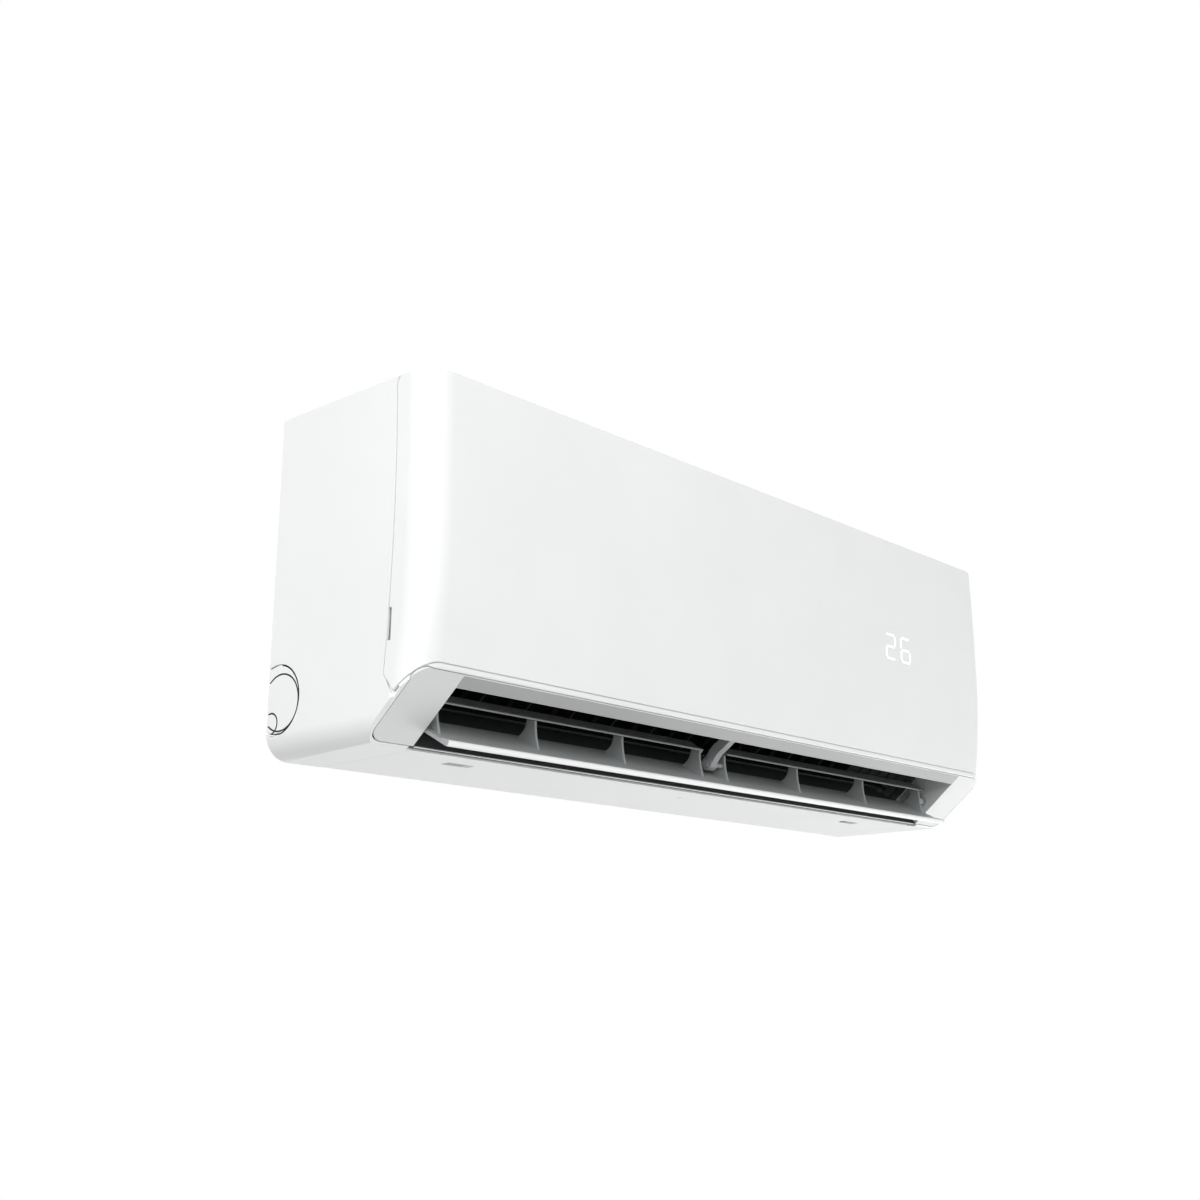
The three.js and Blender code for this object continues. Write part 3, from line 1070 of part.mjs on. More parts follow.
// ---------------------------------------------------------------- grey outlet frame
function outletFrame() {
  const face = ductPlate(outletOutline(0), 0, OUTLET_FRAME_THICKNESS);
  const lipLow = frameTop - OUTLET_LIP;
  const mouth = ductBlock(-OUTLET_HALF_WIDTH, OUTLET_HALF_WIDTH, -1, 2 * WALL, -2 * WALL, lipLow);
  const cheek = (side) => {
    const [left, right] = side > 0
      ? [OUTLET_HALF_WIDTH, OUTLET_HALF_WIDTH + OUTLET_FRAME_THICKNESS]
      : [-OUTLET_HALF_WIDTH - OUTLET_FRAME_THICKNESS, -OUTLET_HALF_WIDTH];
    return ductBlock(left, right, OUTLET_FRAME_THICKNESS / 2, OUTLET_CHEEK_DEPTH, OUTLET_FOOT, lipLow + 2);
  };
  const lipReturn = ductBlock(-OUTLET_HALF_WIDTH, OUTLET_HALF_WIDTH, OUTLET_FRAME_THICKNESS / 2,
    OUTLET_LIP_RETURN - CLEARANCE, lipLow, lipLow + OUTLET_FRAME_THICKNESS);
  const pivotHoles = ductBarAcross(PIVOT_RADIUS + SNUG, -OUTLET_HALF_WIDTH - WALL - 1,
      WALL + 1 - OUTLET_HALF_WIDTH,
    LOUVER_AXIS_INSIDE, LOUVER_AXIS_UP, ROUND_STEPS / 2);
  const motorHole = ductBarAcross(STEPPER_BOSS_RADIUS + CLEARANCE, OUTLET_HALF_WIDTH - 1,
    OUTLET_HALF_WIDTH + WALL + 1, LOUVER_AXIS_INSIDE, LOUVER_AXIS_UP, ROUND_STEPS / 2);
  const body = join(cut(face, mouth), cheek(-1), cheek(1), lipReturn);
  return cut(body, pivotHoles, motorHole);
}

// The curved arm under the lip that carries the louver at mid-span.
function supportArm() {
  const top = frameTop - OUTLET_LIP - CLEARANCE;
  const half = ARM_THICKNESS / 2;
  const drop = top - LOUVER_AXIS_UP;
  const bend = [
    [ARM_TOP_INSIDE, top], [ARM_TOP_INSIDE + ARM_BOW / 3, top - drop / 3],
    [LOUVER_AXIS_INSIDE + ARM_BOW, top - (2 * drop) / 3], [LOUVER_AXIS_INSIDE, LOUVER_AXIS_UP],
  ];
  const curve = new THREE.SplineCurve(bend.map(([u, v]) => new THREE.Vector2(u, v)));
  const line = curve.getPoints(2 * CORNER_STEPS).map((p) => [p.x, p.y]);
  const strap = ductPrism(sheet(line, ARM_WIDTH), ARM_X - half, ARM_X + half);
  const foot = ductBlock(ARM_X - ARM_THICKNESS, ARM_X + ARM_THICKNESS, OUTLET_LIP_RETURN,
    ARM_FOOT_END, top - WALL, DUCT_CEILING - CLEARANCE);
  const boss = ductBarAcross(ARM_BOSS_RADIUS, ARM_X - half - 1, ARM_X + half, LOUVER_AXIS_INSIDE,
      LOUVER_AXIS_UP);
  const bore = ductBarAcross(PIVOT_RADIUS + SNUG, ARM_X - ARM_THICKNESS, ARM_X + ARM_THICKNESS,
    LOUVER_AXIS_INSIDE, LOUVER_AXIS_UP);
  return cut(join(strap, foot, boss), bore);
}

// ---------------------------------------------------------------- louvers, drawn closed about their pivot
// Local directions: x, inwards from the pivot, and up the outlet plane from the pivot.
const louverPrism = (outline, left, right) => ductPrism(outline.map(([up, inside]) => [inside, up]),
    left, right);
const louverFace = -LOUVER_AXIS_INSIDE;
const louverRibPlaces = [
  ...LOUVER_RIBS_LEFT.map((fromEnd) => fromEnd - LOUVER_END_RIB),
  ...LOUVER_RIBS_RIGHT.map((fromEnd) => LOUVER_END_RIB - fromEnd),
];

// A rib swells from a narrow neck at the pivot to a wide foot on the blade and a head under the upper louver.
function louverRib(x) {
  const foot = louverFace + LOUVER_SKIN / 2;
  const top = UPPER_LOUVER_HEIGHT - CLEARANCE;
  const half = LOUVER_RIB_THICKNESS / 2;
  const toe = new THREE.QuadraticBezierCurve(
    new THREE.Vector2(LOUVER_RIB_FOOT, foot + LOUVER_SKIN / 2),
    new THREE.Vector2(LOUVER_RIB_WAIST, 0),
    new THREE.Vector2(UPPER_LOUVER_FRONT, top),
  );
  const heel = new THREE.QuadraticBezierCurve(
    new THREE.Vector2(-LOUVER_RIB_HEAD, top),
    new THREE.Vector2(-LOUVER_RIB_WAIST, 0),
    new THREE.Vector2(-LOUVER_RIB_HEEL, foot + LOUVER_SKIN / 2),
  );
  const outline = [...toe.getPoints(CORNER_STEPS), ...heel.getPoints(CORNER_STEPS)].map((p) => [p.x, p.y]);
  return louverPrism([[LOUVER_RIB_FOOT, foot], ...outline, [-LOUVER_RIB_HEEL, foot]], x - half, x + half);
}

function mainLouver() {
  const inner = louverFace + LOUVER_SKIN;
  const lip = louverFace + LOUVER_LIP;
  const reach = LOUVER_REACH;
  const blade = louverPrism([
    [-LOUVER_TAIL, louverFace + LOUVER_TAIL_LIFT], [-LOUVER_TAIL + LOUVER_LIP, louverFace],
        [reach - LOUVER_EDGE, louverFace],
    [reach, louverFace + LOUVER_EDGE], [reach, lip - LOUVER_EDGE], [reach - LOUVER_EDGE, lip],
    [reach - LOUVER_LIP, lip - LOUVER_EDGE / 2], [reach - 2 * LOUVER_LIP, inner], [-LOUVER_TAIL, inner],
  ], -LOUVER_HALF_WIDTH, LOUVER_HALF_WIDTH);
  const places = [-LOUVER_END_RIB, ...louverRibPlaces, LOUVER_ARM_RIB_LEFT, LOUVER_ARM_RIB_RIGHT,
      LOUVER_END_RIB];
  const pivotBar = (radius, left, right) => ductBarAcross(radius, left, right, 0, 0, ROUND_STEPS / 2);
  const pinLeft = -OUTLET_HALF_WIDTH - OUTLET_FRAME_THICKNESS;
  const boreHalf = LOUVER_RIB_THICKNESS;
  const bores = [
    pivotBar(PIVOT_RADIUS + SNUG, LOUVER_ARM_RIB_RIGHT - boreHalf, LOUVER_ARM_RIB_RIGHT + boreHalf),
    pivotBar(PIVOT_RADIUS + SNUG, LOUVER_END_RIB + SHAFT_STOP, LOUVER_HALF_WIDTH + 1),
  ];
  return cut(join(
    blade, places.map(louverRib),
    pivotBar(PIVOT_RADIUS, pinLeft, -LOUVER_END_RIB),
    pivotBar(PIVOT_RADIUS + LOUVER_BOSS_WALL, LOUVER_END_RIB - 1, LOUVER_HALF_WIDTH - 1),
  ), bores);
}

// A small guide blade over the main one, clipped on its ribs, with its ends turned down.
function upperLouver(left, right) {
  const low = UPPER_LOUVER_HEIGHT;
  const high = low + UPPER_LOUVER_THICKNESS;
  const edge = UPPER_LOUVER_THICKNESS / 2;
  const front = UPPER_LOUVER_FRONT;
  const blade = louverPrism([
    [UPPER_LOUVER_REAR, low + edge], [front - UPPER_LOUVER_BEND, low], [front, low],
    [front + edge, low + edge], [front, high], [front - UPPER_LOUVER_BEND, high],
    [UPPER_LOUVER_REAR, high + edge],
  ], left, right);
  const turnedEnd = louverPrism([
    [front, low + edge], ...arc([front - UPPER_LOUVER_BEND / 2, low], UPPER_LOUVER_BEND / 2, 0, -180,
        CORNER_STEPS),
    [front - UPPER_LOUVER_BEND, low + edge],
  ], right - UPPER_LOUVER_THICKNESS, right);
  return join(blade, turnedEnd);
}

function louverPin() {
  const right = LOUVER_ARM_RIB_RIGHT + LOUVER_RIB_THICKNESS / 2 + 1;
  const left = ARM_X - ARM_THICKNESS / 2 - 1 - CLEARANCE;
  return join(
    ductBarAcross(PIVOT_RADIUS, left - 1, right, 0, 0, ROUND_STEPS / 2),
    ductBarAcross(ARM_PIN_HEAD_RADIUS, left - ARM_PIN_HEAD_HEIGHT, left, 0, 0, ROUND_STEPS),
  );
}

function louverDriveShaft() {
  return ductBarAcross(PIVOT_RADIUS, LOUVER_END_RIB + SHAFT_STOP + CLEARANCE,
      stepperFace + STEPPER_LENGTH / 2, 0, 0,
    ROUND_STEPS / 2);
}

// ---------------------------------------------------------------- small geared stepper motors
const stepperFace = OUTLET_HALF_WIDTH + OUTLET_FRAME_THICKNESS + CLEARANCE;

// A round can with two ears and a boss, lying along x with its boss to the left, bored for its shaft.
function stepper(faceX) {
  const middle = -STEPPER_OFFSET;
  const can = barAcross(STEPPER_RADIUS, faceX, faceX + STEPPER_LENGTH, middle, 0);
  const ears = block(faceX, faceX + STEPPER_EAR_THICKNESS, middle - STEPPER_EAR_WIDTH / 2,
    middle + STEPPER_EAR_WIDTH / 2,
    -STEPPER_EAR_REACH, STEPPER_EAR_REACH);
  const boss = barAcross(STEPPER_BOSS_RADIUS, faceX - STEPPER_BOSS_HEIGHT, faceX + 1, 0, 0,
      ROUND_STEPS / 2);
  const bore = barAcross(PIVOT_RADIUS + SNUG, faceX - 2 * STEPPER_BOSS_HEIGHT,
      faceX + STEPPER_LENGTH / 2 + CLEARANCE,
    0, 0, ROUND_STEPS / 2);
  return cut(join(can, ears, boss), bore);
}

// ---------------------------------------------------------------- vertical vanes

// One vane, drawn about its own upright pin: y is the distance inwards from it, z the height over the floor.
function verticalVane() {
  const low = DUCT_FLOOR + VANE_FOOT_GAP;
  const front = VANE_FRONT_INSIDE - VANE_AXIS_INSIDE;
  const reach = FAN_RADIUS + FAN_RUNNING_GAP;
  const fanSide = (up) => {
    const drop = reach ** 2 - (fanUp - up) ** 2;
    const clear = drop > 0 ? fanInside - Math.sqrt(drop) : VANE_REAR_INSIDE;
    return Math.min(clear, VANE_REAR_INSIDE) - VANE_AXIS_INSIDE;
  };
  const rearEdge = Array.from({ length: CORNER_STEPS }, (_, i) => {
    const up = low + ((VANE_TOP - low) * i) / (CORNER_STEPS - 1);
    return [fanSide(up), up];
  });
  const outline = [[front + 3, low], ...rearEdge, [front + 3, VANE_TOP], [front, VANE_TOP - 3], [front,
      low + 2]];
  const half = VANE_THICKNESS / 2;
  const plate = ductPrism(outline, -half, half);
  const hub = ductBarUp(VANE_HUB_RADIUS, low - 1, low + VANE_HUB_HEIGHT, 0, 0, PIPE_SIDES);
  const pin = ductBarUp(VANE_PIN_RADIUS, low - VANE_PIN_LENGTH, low, 0, 0, PIPE_SIDES);
  const notch = ductBlock(-2 * VANE_HUB_RADIUS, 2 * VANE_HUB_RADIUS, front - 1,
    TIE_ROD_WIDTH / 2 - TIE_RADIUS + TIE_NOTCH_GAP, TIE_ROD_LOW - TIE_NOTCH_GAP,
    TIE_ROD_LOW + TIE_ROD_THICKNESS + TIE_NOTCH_GAP);
  const tiePin = ductBarUp(TIE_PIN_RADIUS, TIE_ROD_LOW - TIE_NOTCH_GAP - 1,
    TIE_ROD_LOW + TIE_ROD_THICKNESS + TIE_NOTCH_GAP + 1, 0, -TIE_RADIUS, 8);
  return join(cut(join(plate, hub), notch), pin, tiePin);
}

// The bar that swings all vanes together: each pin stands in a slot that gives room for its arc.
function tieRod() {
  const slotHalf = TIE_PIN_RADIUS + TIE_SLOT_SIDE;
  const left = VANE_FIRST_X - 2 * TIE_PIN_RADIUS - slotHalf;
  const right = VANE_MOTOR_X + 2 * TIE_PIN_RADIUS + slotHalf;
  const slots = [...vanePlaces, VANE_MOTOR_X].map((x) => ductBlock(x - slotHalf, x + slotHalf,
      -TIE_SLOT_FRONT,
    TIE_SLOT_REAR, TIE_ROD_LOW - 1, TIE_ROD_LOW + TIE_ROD_THICKNESS + 1));
  const bar = ductBlock(left, right, -TIE_ROD_WIDTH / 2, TIE_ROD_WIDTH / 2, TIE_ROD_LOW,
    TIE_ROD_LOW + TIE_ROD_THICKNESS);
  return cut(bar, slots);
}

// The stepper's crank, with the same throw as the vanes.
function vaneCrank() {
  const low = TIE_ROD_LOW + TIE_ROD_THICKNESS + TIE_NOTCH_GAP;
  const high = low + CRANK_THICKNESS;
  return join(
    ductBarUp(VANE_HUB_RADIUS + 1, low, high, 0, 0, ROUND_STEPS / 2),
    ductBlock(-VANE_HUB_RADIUS, VANE_HUB_RADIUS, -TIE_RADIUS, 0, low, high),
    ductBarUp(VANE_HUB_RADIUS, low, high, 0, -TIE_RADIUS, ROUND_STEPS / 2),
    ductBarUp(TIE_PIN_RADIUS, TIE_ROD_LOW - TIE_NOTCH_GAP, low + 1, 0, -TIE_RADIUS, 8),
    ductBarUp(PIVOT_RADIUS, DUCT_FLOOR - WALL - STEPPER_LENGTH / 2, low + 1, 0, 0, ROUND_STEPS / 2),
  );
}

// ---------------------------------------------------------------- crossflow fan
function fanBlade(angle) {
  const sweep = radians(FAN_BLADE_SWEEP);
  const inner = [FAN_BLADE_INNER, 0];
  const outer = [(FAN_RADIUS - SEAM) * Math.cos(sweep), (FAN_RADIUS - SEAM) * Math.sin(sweep)];
  const middle = [(inner[0] + outer[0]) / 2 + FAN_BLADE_BOW * 0.6,
      (inner[1] + outer[1]) / 2 - FAN_BLADE_BOW];
  const turn = ([u, v]) => [
    FAN_DEPTH + u * Math.cos(angle) - v * Math.sin(angle),
    FAN_HEIGHT + u * Math.sin(angle) + v * Math.cos(angle),
  ];
  return across(sheet([inner, middle, outer].map(turn), FAN_BLADE_THICKNESS), FAN_LEFT + 1, FAN_RIGHT - 1);
}

function crossflowFan() {
  const blades = Array.from({ length: FAN_BLADES }, (_, i) => fanBlade((2 * Math.PI * i) / FAN_BLADES));
  const bay = (FAN_RIGHT - FAN_LEFT - FAN_DISC) / FAN_BAYS;
  const discs = Array.from({ length: FAN_BAYS + 1 }, (_, i) => {
    const left = FAN_LEFT + bay * i;
    const disc = barAcross(FAN_RADIUS, left, left + FAN_DISC, ...fanCentre, 2 * FAN_BLADES);
    const closed = i === 0 || i === FAN_BAYS;
    return closed ? disc : cut(disc, barAcross(FAN_RING_INNER, left - 1, left + FAN_DISC + 1,
        ...fanCentre));
  });
  const hub = (left, right) => barAcross(FAN_HUB_RADIUS, left, right, ...fanCentre);
  const hubs = [hub(FAN_LEFT + 1, FAN_LEFT + FAN_HUB_LENGTH), hub(FAN_RIGHT - FAN_HUB_LENGTH,
      FAN_RIGHT - 1)];
  const bore = (left, right) => barAcross(SHAFT_RADIUS + SNUG / 2, left, right, ...fanCentre);
  return cut(join(discs, blades, hubs), bore(FAN_LEFT - 1, FAN_LEFT + FAN_HUB_LENGTH - 2),
    bore(FAN_RIGHT - FAN_HUB_LENGTH + 2, FAN_RIGHT + 1));
}

const stubShaft = () => barAcross(SHAFT_RADIUS, FAN_LEFT - SHAFT_REACH, FAN_LEFT + FAN_HUB_LENGTH - 3,
    ...fanCentre);
const motorShaft = () => barAcross(SHAFT_RADIUS, FAN_RIGHT - FAN_HUB_LENGTH + 3,
    MOTOR_LEFT + MOTOR_RADIUS / 2,
  ...fanCentre);

// The rubber-mounted bush in the left wall.
function fanBearing() {
  const wallMiddle = WALL / 2 - DUCT_WALL_X;
  const flange = BEARING_RADIUS + 3;
  const left = wallMiddle - BEARING_WIDTH / 2 - 1;
  return cut(
    join(
      barAcross(BEARING_RADIUS, left, wallMiddle + WALL / 2 + 2, ...fanCentre),
      barAcross(flange, left - 1, -DUCT_WALL_X - CLEARANCE, ...fanCentre),
    ),
    barAcross(SHAFT_RADIUS + SNUG / 2, left - 2, wallMiddle + BEARING_WIDTH, ...fanCentre),
  );
}

function fanMotor() {
  const middle = (MOTOR_LEFT + MOTOR_RIGHT) / 2;
  const can = barAcross(MOTOR_RADIUS, MOTOR_LEFT, MOTOR_RIGHT, ...fanCentre);
  const rim = barAcross(MOTOR_RIM_RADIUS, middle - MOTOR_RIM_WIDTH / 2, middle + MOTOR_RIM_WIDTH / 2,
      ...fanCentre);
  const bosses = barAcross(MOTOR_BOSS_RADIUS, MOTOR_LEFT - MOTOR_BOSS_LENGTH,
      MOTOR_RIGHT + MOTOR_BOSS_LENGTH,
    ...fanCentre);
  const bore = barAcross(SHAFT_RADIUS + SNUG / 2, MOTOR_LEFT - 2 * MOTOR_BOSS_LENGTH,
    MOTOR_LEFT + MOTOR_RADIUS / 2 + 1, ...fanCentre);
  return cut(join(can, rim, bosses), bore);
}

// The strap over the motor, with an ear at the back wall.
function motorClamp() {
  const x = MOTOR_LEFT + MOTOR_RIM_WIDTH;
  const radius = MOTOR_RADIUS + SEAM + CLAMP_THICKNESS / 2;
  const line = arc(fanCentre, radius, CLAMP_START, CLAMP_END, ROUND_STEPS);
  const foot = [BACK_WALL_FRONT + CLEARANCE + CLAMP_THICKNESS / 2, line.at(-1)[1] + 1];
  return join(
    across(sheet([...line, foot], CLAMP_THICKNESS), x, x + CLAMP_WIDTH),
    block(x, x + CLAMP_WIDTH, BACK_WALL_FRONT + CLEARANCE, BACK_WALL_FRONT + CLEARANCE + CLAMP_THICKNESS,
      foot[1] - 1, foot[1] + CLAMP_EAR),
  );
}

// ---------------------------------------------------------------- heat exchanger
const coilLines = [
  [COIL_FRONT_LOW, COIL_FRONT_HIGH], [COIL_UPPER_LOW, COIL_UPPER_HIGH], [COIL_REAR_LOW, COIL_REAR_HIGH],
];
const coilLinks = [[COIL_FRONT_HIGH, COIL_UPPER_LOW], [COIL_UPPER_HIGH, COIL_REAR_HIGH]];
const coil = (line) => across(sheet(line, COIL_THICKNESS), COIL_LEFT, COIL_RIGHT);

// A round bar along a smooth line through points of x, depth and height.
function tube(points, radius, sides, steps) {
  const path = new THREE.CatmullRomCurve3(points.map(([x, depth, height]) => new THREE.Vector3(x, -depth,
      height)));
  const section = new THREE.Shape(circle([0, 0], radius, sides).map(([u, v]) => new THREE.Vector2(u, v)));
  return solid(new THREE.ExtrudeGeometry(section, { steps, bevelEnabled: false, extrudePath: path }));
}

// The end plate of the coils with its return bends; the bends start at a share of the pitch along each coil.
function coilEnd(faceX, side, share) {
  const faces = [Math.min(faceX, faceX + side * COIL_PLATE), Math.max(faceX, faceX + side * COIL_PLATE)];
  const plates = [
    ...coilLines.map((line) => across(sheet(line, COIL_THICKNESS + 2 * COIL_PLATE_MARGIN), ...faces)),
    ...coilLinks.map((line) => across(sheet(line, COIL_THICKNESS), ...faces)),
  ];
  const bends = coilLines.flatMap(([low, high]) => {
    const length = Math.hypot(high[0] - low[0], high[1] - low[1]);
    const along = [(high[0] - low[0]) / length, (high[1] - low[1]) / length];
    const count = Math.floor(length / (2 * BEND_PITCH));
    return Array.from({ length: count }, (_, i) => {
      const middle = BEND_PITCH * (2 * i + share);
      const points = Array.from({ length: BEND_STEPS + 1 }, (_unused, j) => {
        const angle = (Math.PI * j) / BEND_STEPS;
        const at = middle + (Math.cos(angle) * BEND_PITCH) / 2;
        const out = faceX + side * (COIL_PLATE * 0.8 + (Math.sin(angle) * BEND_PITCH) / 2);
        return [out, low[0] + along[0] * at, low[1] + along[1] * at];
      });
      return tube(points, BEND_TUBE_RADIUS, BEND_SIDES, BEND_STEPS);
    });
  });
  return join(plates, bends);
}

function coilEndRight() {
  const face = COIL_RIGHT + CLEARANCE;
  const header = barUpright(HEADER_RADIUS, HEADER_LOW, HEADER_HIGH, HEADER_X, HEADER_DEPTH,
      ROUND_STEPS / 2);
  const stubs = [HEADER_LOW + HEADER_RADIUS, HEADER_HIGH - HEADER_RADIUS].map((height) => (
    barAcross(BEND_TUBE_RADIUS, face + COIL_PLATE / 2, HEADER_X, HEADER_DEPTH, height, BEND_SIDES)));
  return join(coilEnd(face, 1, 1.1), header, stubs);
}

// The lower run of a pipe: down the wall at x, round a bend and along to its end.
function pipeRun(x, height, end) {
  const bend = PIPE_BEND_RADIUS;
  return [
    [x, PIPE_DEPTH, height + 2 * bend], [x, PIPE_DEPTH, height + bend],
    [x - 0.3 * bend, PIPE_DEPTH, height + 0.3 * bend], [x - bend, PIPE_DEPTH, height],
    [x - 2 * bend, PIPE_DEPTH, height], [end, PIPE_DEPTH, height],
  ];
}

function gasPipe() {
  const top = HEADER_LOW - CLEARANCE;
  const step = GAS_PIPE_RADIUS;
  return tube([
    [HEADER_X, HEADER_DEPTH, top], [HEADER_X, HEADER_DEPTH, top - step],
    [HEADER_X + step, HEADER_DEPTH - step, top - 2.5 * step],
    [PIPE_DROP_X - step / 2, PIPE_DEPTH + step / 2, top - 4.5 * step],
    [PIPE_DROP_X, PIPE_DEPTH, top - 7 * step],
    ...pipeRun(PIPE_DROP_X, GAS_PIPE_HEIGHT, PIPE_END_X),
  ], GAS_PIPE_RADIUS, PIPE_SIDES, PIPE_STEPS);
}

function liquidPipe() {
  const x = PIPE_DROP_X + LIQUID_PIPE_SHIFT;
  const start = COIL_RIGHT + COIL_PLATE + 2 * CLEARANCE;
  const bend = 2 * STUB_BEND;
  return tube([
    [start, PIPE_DEPTH, LIQUID_PIPE_START], [start + STUB_BEND, PIPE_DEPTH, LIQUID_PIPE_START],
    [x - bend, PIPE_DEPTH, LIQUID_PIPE_START], [x - STUB_BEND / 2, PIPE_DEPTH,
        LIQUID_PIPE_START - STUB_BEND / 2],
    [x, PIPE_DEPTH, LIQUID_PIPE_START - bend],
    ...pipeRun(x, LIQUID_PIPE_HEIGHT, PIPE_END_X - PIPE_BEND_RADIUS),
  ], LIQUID_PIPE_RADIUS, PIPE_SIDES, PIPE_STEPS);
}

// ---------------------------------------------------------------- electrics
function controlBox() {
  const tray = cut(
    block(BOX_LEFT, BOX_RIGHT, BOX_REAR, BOX_FRONT, BOX_LOW, BOX_HIGH),
    block(BOX_LEFT + BOX_WALL, BOX_RIGHT - BOX_WALL, BOX_REAR + BOX_WALL, BOX_FRONT + 1, BOX_LOW + BOX_WALL,
      BOX_HIGH - BOX_WALL),
  );
  const posts = [BOX_LEFT + BOARD_STANDOFF, BOX_RIGHT - BOARD_STANDOFF].flatMap((x) => (
    [BOX_LOW + BOARD_STANDOFF, BOX_HIGH - BOARD_STANDOFF].map((height) => (
      barForwards(BOARD_POST_RADIUS, BOX_REAR + BOX_WALL / 2, boardRear - CLEARANCE, x, height, 8)))));
  const arms = [BOX_LOW, BOX_HIGH - BOX_ARM].map((height) => (
    block(BOX_RIGHT - BOARD_STANDOFF - BOX_ARM, BOX_RIGHT - BOARD_STANDOFF + BOX_ARM,
        BACK_WALL_FRONT + CLEARANCE,
      BOX_REAR + BOX_WALL / 2, height, height + BOX_ARM)));
  return join(tray, posts, arms);
}
const boardRear = BOX_REAR + BOX_WALL + BOARD_STANDOFF;

function controlBoxCover() {
  const rear = BOX_FRONT + CLEARANCE;
  const plate = block(BOX_LEFT, BOX_RIGHT, rear, rear + BOX_WALL, BOX_LOW, BOX_HIGH);
  const vents = Array.from({ length: BOX_VENTS }, (_, i) => {
    const height = BOX_LOW + BOARD_STANDOFF + (2 * i + 1) * BOX_VENT_HEIGHT;
    return block(BOX_LEFT + BOARD_STANDOFF, BOX_RIGHT - BOARD_STANDOFF, rear - 1, rear + BOX_WALL + 1,
        height,
      height + BOX_VENT_HEIGHT);
  });
  return cut(plate, vents);
}

function controlBoard() {
  const margin = 2 * BOX_WALL;
  const front = boardRear + BOARD_THICKNESS;
  const chip = (x, height, wide, tall) => block(x, x + wide, front - SEAM, front + CHIP_HEIGHT, height,
      height + tall);
  return join(
    block(BOX_LEFT + margin, BOX_RIGHT - margin, boardRear, front, BOX_LOW + margin, BOX_HIGH - margin),
    chip(BOX_LEFT + CHIP_SIZE, chipLow, CHIP_SIZE, CHIP_SIZE),
    chip(BOX_RIGHT - 2 * CHIP_SIZE, chipLow, CHIP_SIZE / 2, CHIP_SIZE),
    chip(BOX_LEFT + 2.25 * CHIP_SIZE, chipLow, CHIP_SIZE, CHIP_SIZE / 2),
  );
}

const terminalLow = BOX_LOW + BOX_WALL + BOARD_STANDOFF / 2;
const chipLow = terminalLow + TERMINAL_HEIGHT + BOX_WALL;

function terminalBlock() {
  const left = (BOX_LEFT + BOX_RIGHT - TERMINAL_LENGTH) / 2;
  const rear = boardRear + BOARD_THICKNESS + CLEARANCE;
  const low = terminalLow;
  const way = TERMINAL_LENGTH / TERMINAL_WAYS;
  const wells = Array.from({ length: TERMINAL_WAYS }, (_, i) => (
    block(left + way * i + 1, left + way * (i + 1) - 1, rear + TERMINAL_DEPTH / 2,
        rear + TERMINAL_DEPTH + 1,
      low + 3, low + TERMINAL_HEIGHT - 3)));
  return cut(block(left, left + TERMINAL_LENGTH, rear, rear + TERMINAL_DEPTH, low,
      low + TERMINAL_HEIGHT), wells);
}

const displayFront = frontDepth(DISPLAY_HEIGHT + DISPLAY_TALL / 2) - WALL - CLEARANCE;

function displayHousing() {
  const [left, right] = [DISPLAY_X - DISPLAY_WIDTH / 2, DISPLAY_X + DISPLAY_WIDTH / 2];
  const [low, high] = [DISPLAY_HEIGHT - DISPLAY_TALL / 2, DISPLAY_HEIGHT + DISPLAY_TALL / 2];
  const wall = DISPLAY_WALL;
  return cut(
    block(left, right, displayFront - DISPLAY_THICKNESS, displayFront, low, high),
    block(left + wall, right - wall, displayFront - DISPLAY_THICKNESS + wall, displayFront + 1, low + wall,
      high - wall),
  );
}

function displayBoard() {
  const gap = DISPLAY_WALL + CLEARANCE;
  const [left, right] = [DISPLAY_X - DISPLAY_WIDTH / 2 + gap, DISPLAY_X + DISPLAY_WIDTH / 2 - gap];
  const [low, high] = [DISPLAY_HEIGHT - DISPLAY_TALL / 2 + gap, DISPLAY_HEIGHT + DISPLAY_TALL / 2 - gap];
  const rear = displayFront - DISPLAY_THICKNESS + gap;
  const digit = (x) => block(x - DIGIT_WIDTH / 2, x + DIGIT_WIDTH / 2, rear, displayFront,
    DISPLAY_HEIGHT - DIGIT_HEIGHT / 2, DISPLAY_HEIGHT + DIGIT_HEIGHT / 2);
  return join(block(left, right, rear, rear + BOARD_THICKNESS, low, high),
      digit(DISPLAY_X - DIGIT_PITCH / 2),
    digit(DISPLAY_X + DIGIT_PITCH / 2));
}

// ---------------------------------------------------------------- filters, button, screws
function airFilter(side) {
  const edges = [side * FILTER_INNER, side * FILTER_OUTER];
  const left = Math.min(...edges);
  const right = Math.max(...edges);
  const wide = (right - left - 2 * FILTER_BORDER + FILTER_BAR) / FILTER_COLUMNS;
  const tall = (FILTER_HIGH - FILTER_LOW - 2 * FILTER_BORDER + FILTER_BAR) / FILTER_ROWS;
  const face = FRAME_FRONT + CLEARANCE;
  const holes = [];
  for (let i = 0; i < FILTER_COLUMNS; i += 1) {
    for (let j = 0; j < FILTER_ROWS; j += 1) {
      const [u, v] = [left + FILTER_BORDER + wide * i, FILTER_LOW + FILTER_BORDER + tall * j];
      holes.push(block(u, u + wide - FILTER_BAR, face - 1, face + FILTER_THICKNESS + 1, v,
          v + tall - FILTER_BAR));
    }
  }
  return cut(block(left, right, face, face + FILTER_THICKNESS, FILTER_LOW, FILTER_HIGH), holes);
}

function emergencyButton() {
  const flangeFront = FRAME_FRONT - WALL - CLEARANCE;
  return join(
    barForwards(BUTTON_RADIUS, flangeFront - 1, FRAME_FRONT + BUTTON_PROUD, BUTTON_X, BUTTON_HEIGHT),
    barForwards(BUTTON_FLANGE, flangeFront - WALL, flangeFront, BUTTON_X, BUTTON_HEIGHT),
  );
}

